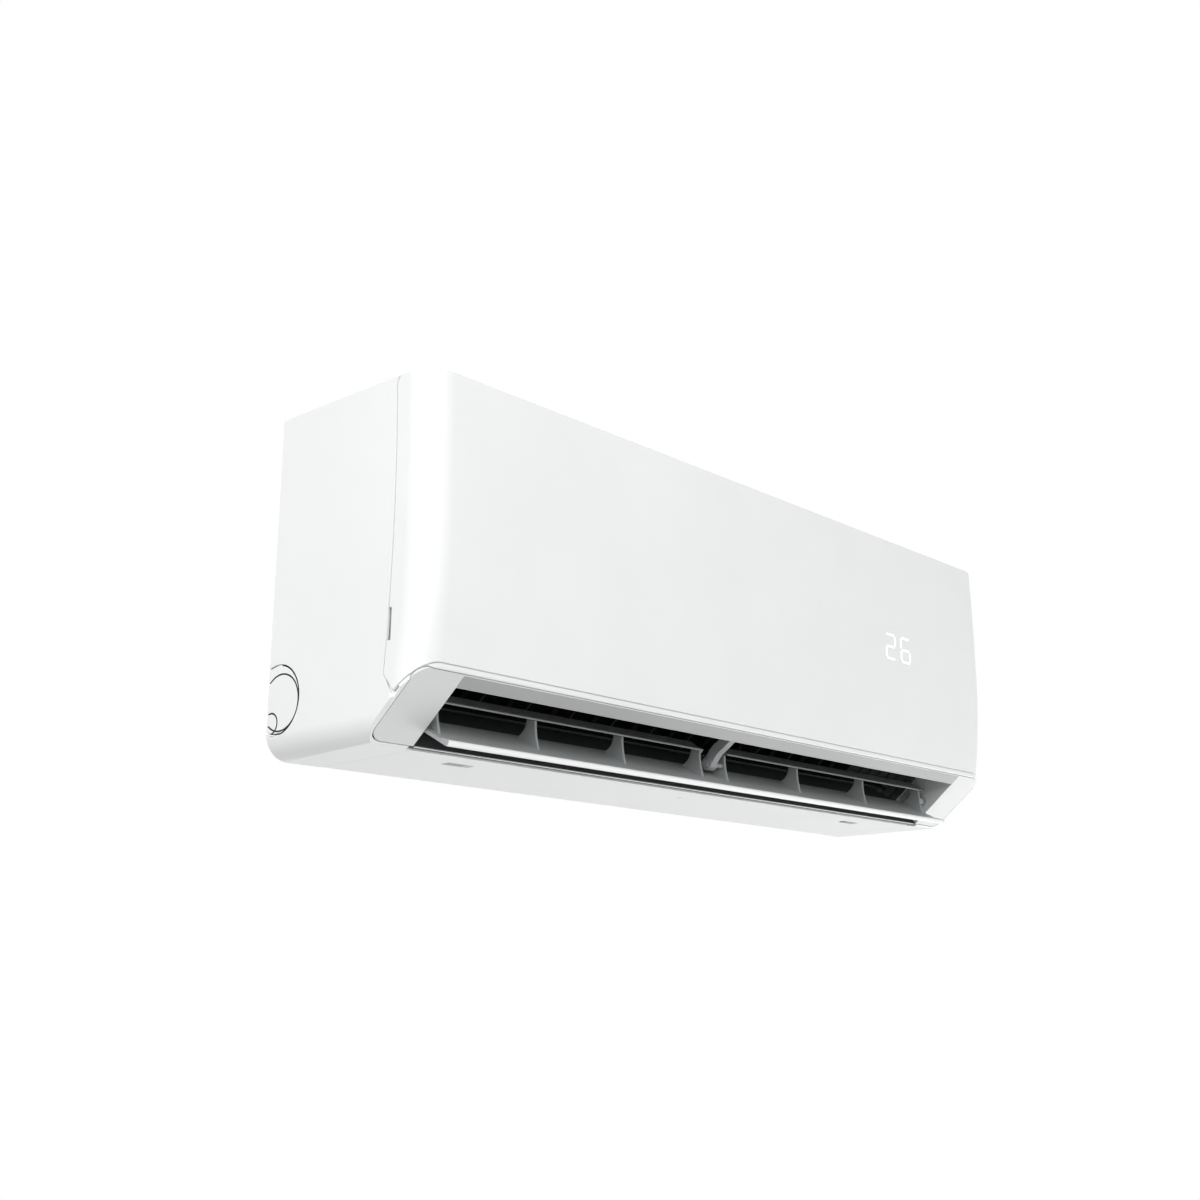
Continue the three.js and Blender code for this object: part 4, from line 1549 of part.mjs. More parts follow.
function casingScrew(side) {
  const face = FRAME_FRONT + CLEARANCE;
  const x = side * SCREW_X;
  const head = barForwards(SCREW_HEAD_RADIUS, face, face + SCREW_HEAD_HEIGHT, x, SCREW_HEIGHT,
      ROUND_STEPS / 2);
  const shank = barForwards(SCREW_RADIUS, FRAME_FRONT - SCREW_LENGTH, face + 1, x, SCREW_HEIGHT,
      ROUND_STEPS / 2);
  const slot = (wide, tall) => block(x - wide, x + wide, face + SCREW_HEAD_HEIGHT / 2,
      face + 2 * SCREW_HEAD_HEIGHT,
    SCREW_HEIGHT - tall, SCREW_HEIGHT + tall);
  return cut(join(head, shank), slot(SCREW_RADIUS, SNUG), slot(SNUG, SCREW_RADIUS));
}

// ---------------------------------------------------------------- bottom cover and its two latches
const underside = (depth) => underSlope * depth;

function bottomCover() {
  const front = COVER_FRONT - SEAM;
  const half = COVER_HALF_WIDTH - SEAM / 2;
  const plate = across([
    [COVER_REAR, underside(COVER_REAR)], [front, underside(front)], [front, underside(front) + WALL],
    [front - COVER_FLANGE_THICKNESS, underside(front) + WALL],
    [front - COVER_FLANGE_THICKNESS, underside(front) + COVER_FLANGE],
    [front - 2 * COVER_FLANGE_THICKNESS, underside(front) + COVER_FLANGE],
    [front - 2 * COVER_FLANGE_THICKNESS, underside(front) + WALL], [COVER_REAR,
        underside(COVER_REAR) + WALL],
  ], -half, half);
  const hooks = WEB_PLACES.map((x) => {
    const [left, right] = [x - COVER_HOOK_WIDTH / 2, x + COVER_HOOK_WIDTH / 2];
    const ring = barAcross(COVER_HOOK_RADIUS, left, right, COVER_PIN_DEPTH, COVER_PIN_HEIGHT);
    const mouth = block(left - 1, right + 1, 0, COVER_PIN_DEPTH, COVER_PIN_HEIGHT + COVER_PIN_RADIUS / 2,
        UNIT_HEIGHT);
    return cut(ring, mouth);
  });
  const bores = WEB_PLACES.map((x) => barAcross(COVER_PIN_RADIUS + SNUG, x - COVER_HOOK_WIDTH,
      x + COVER_HOOK_WIDTH,
    COVER_PIN_DEPTH, COVER_PIN_HEIGHT));
  const under = common(join(plate, hooks), across([
    [0, underside(0)], [2 * front, underside(2 * front)], [2 * front, UNIT_HEIGHT], [0, UNIT_HEIGHT],
  ], -UNIT_WIDTH, UNIT_WIDTH));
  const openings = [-1, 1].flatMap((side) => {
    const middle = side * LATCH_X;
    const gap = CLEARANCE;
    const span = (length) => {
      const reach = length / 2 + gap;
      return side > 0
        ? [middle - reach - LATCH_TRAVEL, middle + reach]
        : [middle - reach, middle + reach + LATCH_TRAVEL];
    };
    const depths = (width) => [LATCH_DEPTH - width / 2 - gap, LATCH_DEPTH + width / 2 + gap];
    const roof = underside(LATCH_DEPTH) + LATCH_POCKET;
    return [
      block(...span(LATCH_LENGTH), ...depths(LATCH_WIDTH), -WALL, roof),
      block(...span(LATCH_STEM_LENGTH), ...depths(LATCH_STEM_WIDTH), -WALL, UNIT_HEIGHT / 2),
    ];
  });
  const mark = barUpright(CENTRE_MARK_RADIUS, -WALL, underside(LATCH_DEPTH) + SEAM, 0, LATCH_DEPTH,
      ROUND_STEPS / 2);
  return cut(under, bores, openings, mark);
}

function bottomLatch(side) {
  const middle = side * LATCH_X;
  const [rear, front] = [LATCH_DEPTH - LATCH_WIDTH / 2, LATCH_DEPTH + LATCH_WIDTH / 2];
  const padTop = underside(LATCH_DEPTH) + LATCH_POCKET - CLEARANCE;
  const pad = across([[rear, underside(rear)], [front, underside(front)], [front, padTop], [rear, padTop]],
    middle - LATCH_LENGTH / 2, middle + LATCH_LENGTH / 2);
  const tongueLow = underside(front) + WALL + CLEARANCE;
  const stem = block(middle - LATCH_STEM_LENGTH / 2, middle + LATCH_STEM_LENGTH / 2,
    LATCH_DEPTH - LATCH_STEM_WIDTH / 2, LATCH_DEPTH + LATCH_STEM_WIDTH / 2, padTop - SNUG, tongueLow + 1);
  const reach = [middle - (side * LATCH_STEM_LENGTH) / 2,
      middle + side * (LATCH_STEM_LENGTH / 2 + LATCH_TONGUE_LENGTH)];
  const tongue = block(Math.min(...reach), Math.max(...reach), rear, front, tongueLow,
    tongueLow + LATCH_TONGUE_THICKNESS);
  return join(pad, stem, tongue);
}

// ---------------------------------------------------------------- wall plate
function wallPlate() {
  const low = PLATE_CENTRE_HEIGHT - PLATE_HEIGHT / 2;
  const high = low + PLATE_HEIGHT;
  const radii = [PLATE_RADIUS, PLATE_RADIUS, PLATE_RADIUS, PLATE_RADIUS];
  const plate = forwards(rounded(-PLATE_WIDTH / 2, PLATE_WIDTH / 2, low, high, radii), 0, PLATE_THICKNESS);
  const holes = PLATE_HOLE_X.flatMap((x) => [-PLATE_HOLE_RISE, PLATE_HOLE_RISE].map((rise) => (
    barForwards(PLATE_HOLE_RADIUS, -1, 2 * PLATE_THICKNESS, x, PLATE_CENTRE_HEIGHT + rise,
        ROUND_STEPS / 2))));
  const slots = PLATE_SLOT_X.map((x) => block(x - PLATE_SLOT_LENGTH / 2, x + PLATE_SLOT_LENGTH / 2, -1,
    2 * PLATE_THICKNESS, PLATE_CENTRE_HEIGHT - PLATE_SLOT_HEIGHT / 2,
        PLATE_CENTRE_HEIGHT + PLATE_SLOT_HEIGHT / 2));
  const hooks = HOOK_X.flatMap((x) => [
    block(x - HOOK_WIDTH / 2, x + HOOK_WIDTH / 2, 0, HOOK_REACH, high - PLATE_THICKNESS, high),
    block(x - HOOK_WIDTH / 2, x + HOOK_WIDTH / 2, HOOK_REACH - PLATE_THICKNESS, HOOK_REACH,
        high - PLATE_THICKNESS,
      high + HOOK_RISE),
  ]);
  return cut(join(plate, hooks), holes, slots);
}

// ---------------------------------------------------------------- the assembly
const white = plastic(WHITE, 0.38);
const grey = plastic(LIGHT_GREY, 0.42);
const louverGrey = plastic(LOUVER_GREY, 0.45);
const dark = plastic(DARK_GREY, 0.6);
const black = plastic(BLACK, 0.55);
const steel = metal(STEEL, 0.4);
const copper = metal(COPPER, 0.32);
const aluminium = metal(ALUMINIUM, 0.45);
const board = plastic(BOARD_GREEN, 0.5);

const unit = new THREE.Group();
unit.name = 'mini_split_indoor_unit';
unit.position.z = -PLATE_CENTRE_HEIGHT;
const duct = new THREE.Group();
duct.position.set(0, -OUTLET_EDGE_DEPTH, OUTLET_EDGE_HEIGHT);
duct.rotation.x = radians(90 - OUTLET_ANGLE);
const louver = new THREE.Group();
louver.position.set(0, LOUVER_AXIS_INSIDE, LOUVER_AXIS_UP);
louver.rotation.x = radians(LOUVER_OPEN_ANGLE);

unit.add(
  piece('wall_plate', wallPlate(), steel),
  piece('rear_chassis', rearChassis(), dark),
  piece('drain_pan', drainPan(), dark),
  piece('front_casing', frontCasing(), white),
  piece('top_inlet_grille', inletGrille(), white),
  piece('front_panel', frontPanel(), white),
  piece('panel_hinge_pin_left', hingePin(-1), steel),
  piece('panel_hinge_pin_right', hingePin(1), steel),
  piece('bottom_cover', bottomCover(), white),
  piece('bottom_latch_left', bottomLatch(-1), white),
  piece('bottom_latch_right', bottomLatch(1), white),
  piece('knockout_cover_left', knockoutCover(-1), white),
  piece('knockout_cover_right', knockoutCover(1), white),
  piece('crossflow_fan', crossflowFan(), dark),
  piece('fan_stub_shaft', stubShaft(), steel),
  piece('fan_bearing', fanBearing(), black),
  piece('fan_motor', fanMotor(), steel),
  piece('motor_shaft', motorShaft(), steel),
  piece('motor_clamp', motorClamp(), dark),
  piece('evaporator_front', coil(coilLines[0]), aluminium),
  piece('evaporator_upper', coil(coilLines[1]), aluminium),
  piece('evaporator_rear', coil(coilLines[2]), aluminium),
  piece('coil_end_left', coilEnd(COIL_LEFT - CLEARANCE, -1, 1), copper),
  piece('coil_end_right', coilEndRight(), copper),
  piece('liquid_pipe', liquidPipe(), copper),
  piece('gas_pipe', gasPipe(), copper),
  piece('control_box', controlBox(), dark),
  piece('control_box_cover', controlBoxCover(), dark),
  piece('control_board', controlBoard(), board),
  piece('terminal_block', terminalBlock(), black),
  piece('display_housing', displayHousing(), white),
  piece('display_board', displayBoard(), board),
  piece('air_filter_left', airFilter(-1), dark),
  piece('air_filter_right', airFilter(1), dark),
  piece('emergency_button', emergencyButton(), grey),
  piece('casing_screw_left', casingScrew(-1), steel),
  piece('casing_screw_right', casingScrew(1), steel),
  duct,
);
duct.add(
  piece('outlet_frame', outletFrame(), grey),
  piece('louver_support_arm', supportArm(), louverGrey),
  louver,
);
louver.add(
  piece('main_louver', mainLouver(), louverGrey),
  piece('upper_louver_left', upperLouver(UPPER_LEFT_START, UPPER_LEFT_END), louverGrey),
  piece('upper_louver_right', upperLouver(UPPER_RIGHT_START, UPPER_RIGHT_END), louverGrey),
  piece('louver_pivot_pin', louverPin(), louverGrey),
  piece('louver_drive_shaft', louverDriveShaft(), louverGrey),
);

const louverMotor = piece('louver_motor', stepper(stepperFace), grey);
louverMotor.position.copy(louver.position);
const vaneMotor = piece('vane_motor', stepper(0), grey);
vaneMotor.rotation.y = Math.PI / 2;
vaneMotor.position.set(VANE_MOTOR_X, VANE_AXIS_INSIDE, DUCT_FLOOR - WALL - CLEARANCE);
const crank = piece('vane_crank', vaneCrank(), black);
crank.position.set(VANE_MOTOR_X, VANE_AXIS_INSIDE, 0);
const rod = piece('vane_tie_rod', tieRod(), black);
rod.position.y = tieInside;
duct.add(louverMotor, vaneMotor, crank, rod);

vanePlaces.forEach((x, i) => {
  const vane = piece(`vertical_vane_${String(i + 1).padStart(2, '0')}`, verticalVane(), black);
  vane.position.set(x, VANE_AXIS_INSIDE, 0);
  duct.add(vane);
});

export default unit;
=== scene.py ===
"""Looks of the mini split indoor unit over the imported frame: skins, materials, studio, camera.

Shapes are drawn in the unit's own millimetres (x, depth out of the wall, height over the
underside) and moved into the frame's metres at the end.
"""

import json
import math

import bmesh
import bpy
from mathutils import Matrix, Vector


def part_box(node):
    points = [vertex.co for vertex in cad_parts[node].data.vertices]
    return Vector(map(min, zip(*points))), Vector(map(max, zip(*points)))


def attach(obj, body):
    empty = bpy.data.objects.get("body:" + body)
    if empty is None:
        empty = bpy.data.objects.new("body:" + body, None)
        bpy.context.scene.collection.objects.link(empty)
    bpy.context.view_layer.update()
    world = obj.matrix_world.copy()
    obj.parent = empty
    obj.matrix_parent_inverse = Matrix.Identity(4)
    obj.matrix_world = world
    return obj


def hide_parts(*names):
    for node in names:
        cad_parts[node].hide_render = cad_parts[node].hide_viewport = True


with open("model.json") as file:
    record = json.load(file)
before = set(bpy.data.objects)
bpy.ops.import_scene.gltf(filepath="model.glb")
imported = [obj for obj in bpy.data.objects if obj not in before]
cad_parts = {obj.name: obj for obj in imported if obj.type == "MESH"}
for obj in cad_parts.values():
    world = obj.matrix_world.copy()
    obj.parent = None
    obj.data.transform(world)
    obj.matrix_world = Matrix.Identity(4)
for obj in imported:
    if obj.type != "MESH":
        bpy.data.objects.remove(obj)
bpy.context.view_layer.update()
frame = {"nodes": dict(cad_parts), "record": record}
NODES = frame["nodes"]
NODE_SLOTS = {part["node"]: part["material_slot"] for part in frame["record"]["subparts"]}

METRE = 1000.0  # millimetres

# ------------------------------------------------------------------ outer form, millimetres
UNIT_WIDTH = 850.0
UNIT_HEIGHT = 295.0
HALF_WIDTH = UNIT_WIDTH / 2
TOP_DEPTH = 190.0
BELLY_DEPTH = 193.0
BELLY_HEIGHT = 165.0
LOWER_EDGE_DEPTH = 185.0
OUTLET_EDGE_DEPTH = 122.0
OUTLET_EDGE_HEIGHT = 3.0
OUTLET_ANGLE = math.radians(40)
PLAN_CORNER_RADIUS = 26.0
BOTTOM_CORNER_RADIUS = 22.0
WALL = 2.5
SEAM = 0.8
FIT = 0.35  # clearance between parts that sit against each other
OVERRUN = 1.0  # how far a cutting shape runs past what it cuts
FRAME_LOW = 150.0  # the frame's zero height over the underside

PANEL_AXIS = (162.0, UNIT_HEIGHT - 8.5)
SEAM_BELLY_DEPTH = 153.4
SEAM_BELLY_HEIGHT = 190.0
SEAM_CURVE = 0.0003
SEAM_FOOT_HEIGHT = 52.0
RIM_BAND = 3.2
FINGER_TAB = (78.0, 104.0, 4.5)  # low, high and depth of the finger notch in a side
SCOOP_WIDTH = 4.5
SCOOP_TIP = 6.0
SCOOP_DEPTH = 2.8
GRILLE_HOLE = (HALF_WIDTH - 33, 22.0, 140.0)  # half width, rear and front depth
GRILLE_CUT = 20.0  # how far the hole's cutter reaches below the top
KNOCKOUT = (12.0, 48.0, 30.0)  # depth, height and radius of the pipe knock-out in each side
BREAK_LINE = 1.4
BREAK_DEPTH = 1.1
BREAK_RINGS = (((17.0, 45.5), 23.0), ((5.0, 29.0), 8.0))  # centre (depth, height), radius
SHADE_PAINT_DEPTH = 0.1  # faces deeper than this are painted black as shade: the break-out grooves and the back

# ------------------------------------------------------------------ outlet, millimetres
OUTLET_HALF_WIDTH = HALF_WIDTH - 52
OUTLET_RIM = 2.2
OUTLET_SIDE_RIM = 6.0
OUTLET_FRAME_RADIUS = 13.0
OUTLET_FRAME_THICKNESS = 2.2
OUTLET_LIP = 13.5
OUTLET_LIP_RETURN = 8.0
OUTLET_CHEEK_DEPTH = 36.0
OUTLET_CHEEK_RISE = 2.0
OUTLET_FOOT = 3.0
OUTLET_MOUTH_CUT = 5.0
DUCT_WALL_X = OUTLET_HALF_WIDTH + 3
COVER_HALF_WIDTH = OUTLET_HALF_WIDTH - 4
COVER_FRONT = 118.0
# The strip is a thin sheet of painted shade laid on the outlet frame's lip.
STRIP_LOW_GAP = 0.6
STRIP_TOP_GAP = 1.2
STRIP_RADIUS = 1.5
STRIP_PROUD = 0.25
STRIP_SUNK = 1.0
RIDGE_INSIDE = (0.2, 1.4)
RIDGE_UP = (1.3, 2.5)
RIDGE_ROUND = 0.4
RIDGE_END_GAP = 2.0

SLANT_COS = math.cos(OUTLET_ANGLE)
SLANT_SIN = math.sin(OUTLET_ANGLE)
UNDER_SLOPE = OUTLET_EDGE_HEIGHT / OUTLET_EDGE_DEPTH
OUTLET_LENGTH = (LOWER_EDGE_DEPTH - OUTLET_EDGE_DEPTH) / SLANT_COS
FRAME_TOP = OUTLET_LENGTH - OUTLET_RIM
FRAME_HALF = HALF_WIDTH - OUTLET_SIDE_RIM

# ------------------------------------------------------------------ louvers, millimetres
LOUVER_AXIS = (12.5, 26.5)  # pivot, inside and up the outlet plane
LOUVER_OPEN_ANGLE = math.radians(68)
LOUVER_HALF_WIDTH = OUTLET_HALF_WIDTH - 2.5
LOUVER_FACE = -LOUVER_AXIS[0]
LOUVER_REACH = 37.5
LOUVER_TAIL = 20.5
LOUVER_TAIL_EDGE = 1.2
LOUVER_SKIN = 2.8
LOUVER_LIP = 5.6
LOUVER_LIP_SLOPE = (1.5, 1.0)
LOUVER_ROUND = 2.0
LOUVER_WHITE_LIP = 2.4
LOUVER_RIBS = [-361.0, -250.0, -140.0, -30.0, 8.0, 127.0, 247.0, 361.0]
LOUVER_ARM_RIB = LOUVER_RIBS[4]
LOUVER_RIB_THICKNESS = 2.4
LOUVER_RIB_FOOT = (14.0, -15.0)  # toe and heel
LOUVER_RIB_WAIST = (3.5, -6.0)
LOUVER_RIB_REAR = -13.0
LOUVER_RIB_EDGE = 1.4
PIN_RADIUS = 2.6
PIN_BORE = 2.9
SHAFT_BOSS = 4.6
SHAFT_BORE = 4.85
CHEEK_BORE_REACH = 3.5

UPPER_LOUVER_HEIGHT = 11.0
UPPER_LOUVER_THICKNESS = 2.0
UPPER_LOUVER_REAR = -19.5
UPPER_LOUVER_FRONT = -1.5
UPPER_LOUVER_NOSE = 9.0
UPPER_LOUVER_ROUND = 0.8
UPPER_LOUVERS = (  # node, left and right end
    ("upper_louver_left", 1.5 - LOUVER_HALF_WIDTH, -26.4),
    ("upper_louver_right", 11.0, LOUVER_HALF_WIDTH - 1.5),
)

ARM_X = -11.0
ARM_HALF_THICKNESS = 4.0
ARM_WIDTH = 10.0
ARM_BEND = (13.5, 14.5, LOUVER_AXIS[0] + 3)  # how far inside its line runs, from the top down
ARM_FOOT = (8.0, 20.0, 69.65)  # outer and inner face, and top
ARM_FOOT_HALF_WIDTH = 8.0
ARM_EYE_RADIUS = 6.2
ARM_EYE_PROUD = 1.0
ARM_RING_RADII = (5.2, 4.4)
ARM_RING_PROUD = 0.4

# ------------------------------------------------------------------ fan, nets and digits
FAN = (84.0, 134.0, 46.0)  # depth, height and radius
FAN_SPAN = (10 - DUCT_WALL_X, HALF_WIDTH - 129)
FAN_BLADES = 35
FAN_BLADE_STEPS = 6
FAN_BLADE_ROOT = 36.0  # radius at which a blade starts
FAN_BLADE_INSET = 0.8
FAN_BLADE_THICKNESS = 0.9
FAN_SWEEP = 14.0  # degrees that a blade leans over its height
FAN_BOW = 5.0  # degrees that it bows at the middle
FAN_BAYS = 9
FAN_RING_HOLE = 34.0
FAN_RING_THICKNESS = 2.4
FAN_HUB_RADIUS = 11.0
FAN_HUB_ENDS = (2.0, 14.0)  # distances from the fan's end
FAN_BORE = 4.15

NET_PITCH = 2.6
NET_BORDER = 6.0
NET_HALF_THREAD = 0.2
BOX_FACES = ((0, 1, 3, 2), (4, 6, 7, 5), (0, 4, 5, 1), (2, 3, 7, 6), (0, 2, 6, 4), (1, 5, 7, 3))

DIGITS_X = 240.5
DIGITS_Z = 176.0
DIGIT_STEP = 29.0
DIGIT_HALF = (8.5, 13.0)
DIGIT_SUNK = 1.0
DIGIT_PROUD = 0.12
SEGMENT_WIDTH = 1.7
SEGMENT_GAP = 2.2
SEGMENTS = {
    "top": ((-1, 1), (1, 1)), "middle": ((-1, 0), (1, 0)), "bottom": ((-1, -1), (1, -1)),
    "upper_left": ((-1, 0), (-1, 1)), "upper_right": ((1, 0), (1, 1)),
    "lower_left": ((-1, -1), (-1, 0)), "lower_right": ((1, -1), (1, 0)),
}
LIT = {
    2: ("top", "upper_right", "middle", "lower_left", "bottom"),
    6: ("top", "upper_left", "middle", "lower_left", "lower_right", "bottom"),
}

# ------------------------------------------------------------------ fineness of the shapes
ROUND = 20  # steps of a quarter turn
LEVELS = 56  # heights at which the outer form is drawn
BIG_CIRCLE = 96
CIRCLE = 64
HUB_CIRCLE = 48
BAR_CIRCLE = 40
SMALL_CIRCLE = 32
RIB_STEPS = 14
ARM_STEPS = 8
CORNER_STEPS = 4
CORNER_SHARE = 0.4  # the most of a side that a softened corner takes
WELD = 1e-4
CAD_WELD = 0.002
SHOWN_WELD = 0.00001  # metres
SMOOTH_ANGLE = math.radians(28)

# ------------------------------------------------------------------ materials
# Each plastic has a darker and a lighter tone, and a lowest and highest roughness.
PLASTICS = {
    "casing_white": ((240, 241, 241), (243, 244, 244), (0.30, 0.40)),
    "trim_grey": ((220, 221, 221), (225, 226, 226), (0.38, 0.48)),
    # Painted shade: this grey stands for the shade on the outlet frame's lip.
    "painted_shade_grey": ((160, 163, 162), (168, 170, 169), (0.38, 0.48)),
    # Painted shade: the latches' mid grey stands for the shade in their recessed pockets.
    "painted_pocket_shade_grey": ((150, 152, 152), (158, 160, 160), (0.4, 0.5)),
    "louver_grey": ((170, 174, 174), (177, 180, 180), (0.38, 0.5)),
    "dark_plastic": ((54, 56, 57), (62, 64, 65), (0.5, 0.62)),
    "black_plastic": ((30, 31, 33), (38, 39, 41), (0.45, 0.58)),
}
# A metal also has the scales of its grain and of its tone drift.
METALS = {
    "steel": ((172, 175, 178), (200, 203, 206), (0.28, 0.42), 60.0, 40.0),
    "copper": ((176, 104, 62), (204, 130, 84), (0.22, 0.36), 80.0, 30.0),
}
METAL_GRAIN_DEPTH = 0.00001
METAL_EDGE = 0.0004
BUMP_STRENGTH = 0.6

# ------------------------------------------------------------------ studio and camera, metres
WHITE = (1.0, 1.0, 1.0, 1.0)
WORLD_STRENGTH = 0.45
FLOOR_HALF_SIZE = 9.0
FLOOR_HEIGHT = -1.6
FLOOR_FADE = (1.2, 3.2)  # distances over which the floor passes into plain white
LAMPS = (  # name, place, target, width and height, power in watts
    ("left_softbox", (-2.8, -0.7, 1.7), (0, -0.1, 0), (2.2, 2.2), 40.0),
    ("front_softbox", (-1.5, -1.9, 0.9), (-0.3, -0.15, 0), (1.6, 1.6), 25.0),
    ("low_softbox", (1.5, -0.8, -1.4), (0, -0.1, -0.1), (2.0, 1.4), 26.0),
)
CAMERA_PLACE = (-1.1676, -1.0589, -0.3335)
CAMERA_AZIMUTH = math.radians(47.26)
CAMERA_ELEVATION = math.radians(14.227)
CAMERA_ROLL = math.radians(0.378)
CAMERA_LENS = 46.518  # millimetres, as is the sensor
CAMERA_SENSOR = 36.0
CAMERA_FAR = 50.0


# ------------------------------------------------------------------ plane shapes
def duct_point(inside, up):
    """(depth, height) of a point inside the outlet plane and up along it."""
    return (OUTLET_EDGE_DEPTH - SLANT_SIN * inside + SLANT_COS * up,
            OUTLET_EDGE_HEIGHT + SLANT_COS * inside + SLANT_SIN * up)


def duct_place(depth, height):
    """The way back: (inside, up) of a point given by depth and height."""
    u = depth - OUTLET_EDGE_DEPTH
    v = height - OUTLET_EDGE_HEIGHT
    return (-SLANT_SIN * u + SLANT_COS * v, SLANT_COS * u + SLANT_SIN * v)


def arc(centre, radius, start, end, steps):
    points = []
    for i in range(steps + 1):
        angle = math.radians(start + (end - start) * i / steps)
        points.append((centre[0] + radius * math.cos(angle),
                       centre[1] + radius * math.sin(angle)))
    return points


def circle(centre, radius, steps=CIRCLE):
    return arc(centre, radius, 0, 360, steps)[:-1]


def rounded(left, right, low, high, radius, top_radius=None):
    """A rectangle with rounded corners. The upper ones can have a radius of their own."""
    top = radius if top_radius is None else top_radius
    outline = arc((left + radius, low + radius), radius, 180, 270, ROUND)
    outline += arc((right - radius, low + radius), radius, 270, 360, ROUND)
    if top > 0:
        outline += arc((right - top, high - top), top, 0, 90, ROUND)
        outline += arc((left + top, high - top), top, 90, 180, ROUND)
    else:
        outline += [(right, high), (left, high)]
    return outline


def crossing(a, b, c, d):
    """Where the line a-b meets the line c-d."""
    r = (b[0] - a[0], b[1] - a[1])
    s = (d[0] - c[0], d[1] - c[1])
    share = ((c[0] - a[0]) * s[1] - (c[1] - a[1]) * s[0]) / (r[0] * s[1] - r[1] * s[0])
    return (a[0] + share * r[0], a[1] + share * r[1])


def bezier(a, b, c, steps):
    points = []
    for i in range(steps + 1):
        t = i / steps
        u = 1 - t
        points.append(tuple(u * u * a[k] + 2 * u * t * b[k] + t * t * c[k] for k in range(2)))
    return points


def catmull(points, steps):
    """A smooth line through the points."""
    line = []
    last = len(points) - 1
    for i in range(last):
        p = [points[max(i - 1, 0)], points[i], points[i + 1], points[min(i + 2, last)]]
        for j in range(steps):
            t = j / steps
            line.append(tuple(
                0.5 * (2 * p[1][k] + (p[2][k] - p[0][k]) * t
                       + (2 * p[0][k] - 5 * p[1][k] + 4 * p[2][k] - p[3][k]) * t * t
                       + (3 * p[1][k] - p[0][k] - 3 * p[2][k] + p[3][k]) * t ** 3)
                for k in range(2)))
    line.append(points[-1])
    return line


def softened(outline, radius):
    """The outline with each corner rounded."""
    points = []
    count = len(outline)
    for i in range(count):
        here = Vector(outline[i])
        before = Vector(outline[i - 1])
        after = Vector(outline[(i + 1) % count])
        reach = min(radius, CORNER_SHARE * (before - here).length,
                    CORNER_SHARE * (after - here).length)
        start = here + (before - here).normalized() * reach
        end = here + (after - here).normalized() * reach
        points += bezier(start, here, end, CORNER_STEPS)
    return points


def strip(line, thickness):
    """The outline of a sheet of that thickness along a line."""
    left = []
    right = []
    for i, point in enumerate(line):
        a = line[max(i - 1, 0)]
        b = line[min(i + 1, len(line) - 1)]
        length = math.hypot(b[0] - a[0], b[1] - a[1])
        normal = (-(b[1] - a[1]) / length, (b[0] - a[0]) / length)
        left.append(tuple(point[k] + normal[k] * thickness / 2 for k in range(2)))
        right.append(tuple(point[k] - normal[k] * thickness / 2 for k in range(2)))
    return left + right[::-1]


# ------------------------------------------------------------------ places of outlines
def side_place(point, along):
    """Outline in (depth, height), drawn out along x."""
    return (along, -point[0], point[1])


def front_place(point, along):
    """Outline in (x, height), drawn out along the depth."""
    return (point[0], -along, point[1])


def plate_place(point, along):
    """Outline in (x, up the outlet plane), drawn out inwards of that plane."""
    depth, height = duct_point(along, point[1])
    return (point[0], -depth, height)


def duct_side_place(point, along):
    """Outline in (inside, up), drawn out along x."""
    depth, height = duct_point(point[0], point[1])
    return (along, -depth, height)


def louver_place(point, along):
    """Outline in (up, inside) about the shut louver's pivot, drawn out along x, turned open."""
    up, inside = point
    turned_in = inside * math.cos(LOUVER_OPEN_ANGLE) - up * math.sin(LOUVER_OPEN_ANGLE)
    turned_up = inside * math.sin(LOUVER_OPEN_ANGLE) + up * math.cos(LOUVER_OPEN_ANGLE)
    return duct_side_place((LOUVER_AXIS[0] + turned_in, LOUVER_AXIS[1] + turned_up), along)


# ------------------------------------------------------------------ solids
TO_FRAME = Matrix.Translation((0, 0, -FRAME_LOW / METRE)) @ Matrix.Scale(1 / METRE, 4)


def linked(name, data):
    """A new object in the scene that holds a mesh, lamp or camera."""
    obj = bpy.data.objects.new(name, data)
    bpy.context.scene.collection.objects.link(obj)
    return obj


def new_object(name, vertices, faces):
    mesh = bpy.data.meshes.new(name)
    mesh.from_pydata(vertices, [], faces)
    work = bmesh.new()
    work.from_mesh(mesh)
    bmesh.ops.remove_doubles(work, verts=work.verts, dist=WELD)
    bmesh.ops.recalc_face_normals(work, faces=work.faces)
    work.to_mesh(mesh)
    work.free()
    return linked(name, mesh)


def prism(outline, place, start, end):
    """A solid with the outline as its section, from start to end along the place's own way."""
    count = len(outline)
    vertices = [place(p, start) for p in outline] + [place(p, end) for p in outline]
    faces = [tuple(range(count)), tuple(reversed(range(count, 2 * count)))]
    faces += [(i, (i + 1) % count, count + (i + 1) % count, count + i) for i in range(count)]
    return new_object("tool", vertices, faces)


def block(left, right, rear, front, low, high):
    outline = [(rear, low), (front, low), (front, high), (rear, high)]
    return prism(outline, side_place, left, right)


def loft(rings):
    """A solid through rings of equally many points."""
    count = len(rings[0])
    vertices = [p for ring in rings for p in ring]
    faces = [tuple(reversed(range(count)))]
    last = (len(rings) - 1) * count
    faces.append(tuple(range(last, last + count)))
    for level in range(len(rings) - 1):
        for i in range(count):
            a = level * count + i
            b = level * count + (i + 1) % count
            faces.append((a, b, b + count, a + count))
    return new_object("tool", vertices, faces)


def duct_bar(radius, left, right, inside, up):
    return prism(circle((inside, up), radius, BAR_CIRCLE), duct_side_place, left, right)


def louver_bar(radius, left, right):
    return prism(circle((0, 0), radius, SMALL_CIRCLE), louver_place, left, right)


def apply_modifiers(obj):
    graph = bpy.context.evaluated_depsgraph_get()
    mesh = bpy.data.meshes.new_from_object(obj.evaluated_get(graph))
    obj.modifiers.clear()
    old = obj.data
    obj.data = mesh
    bpy.data.meshes.remove(old)


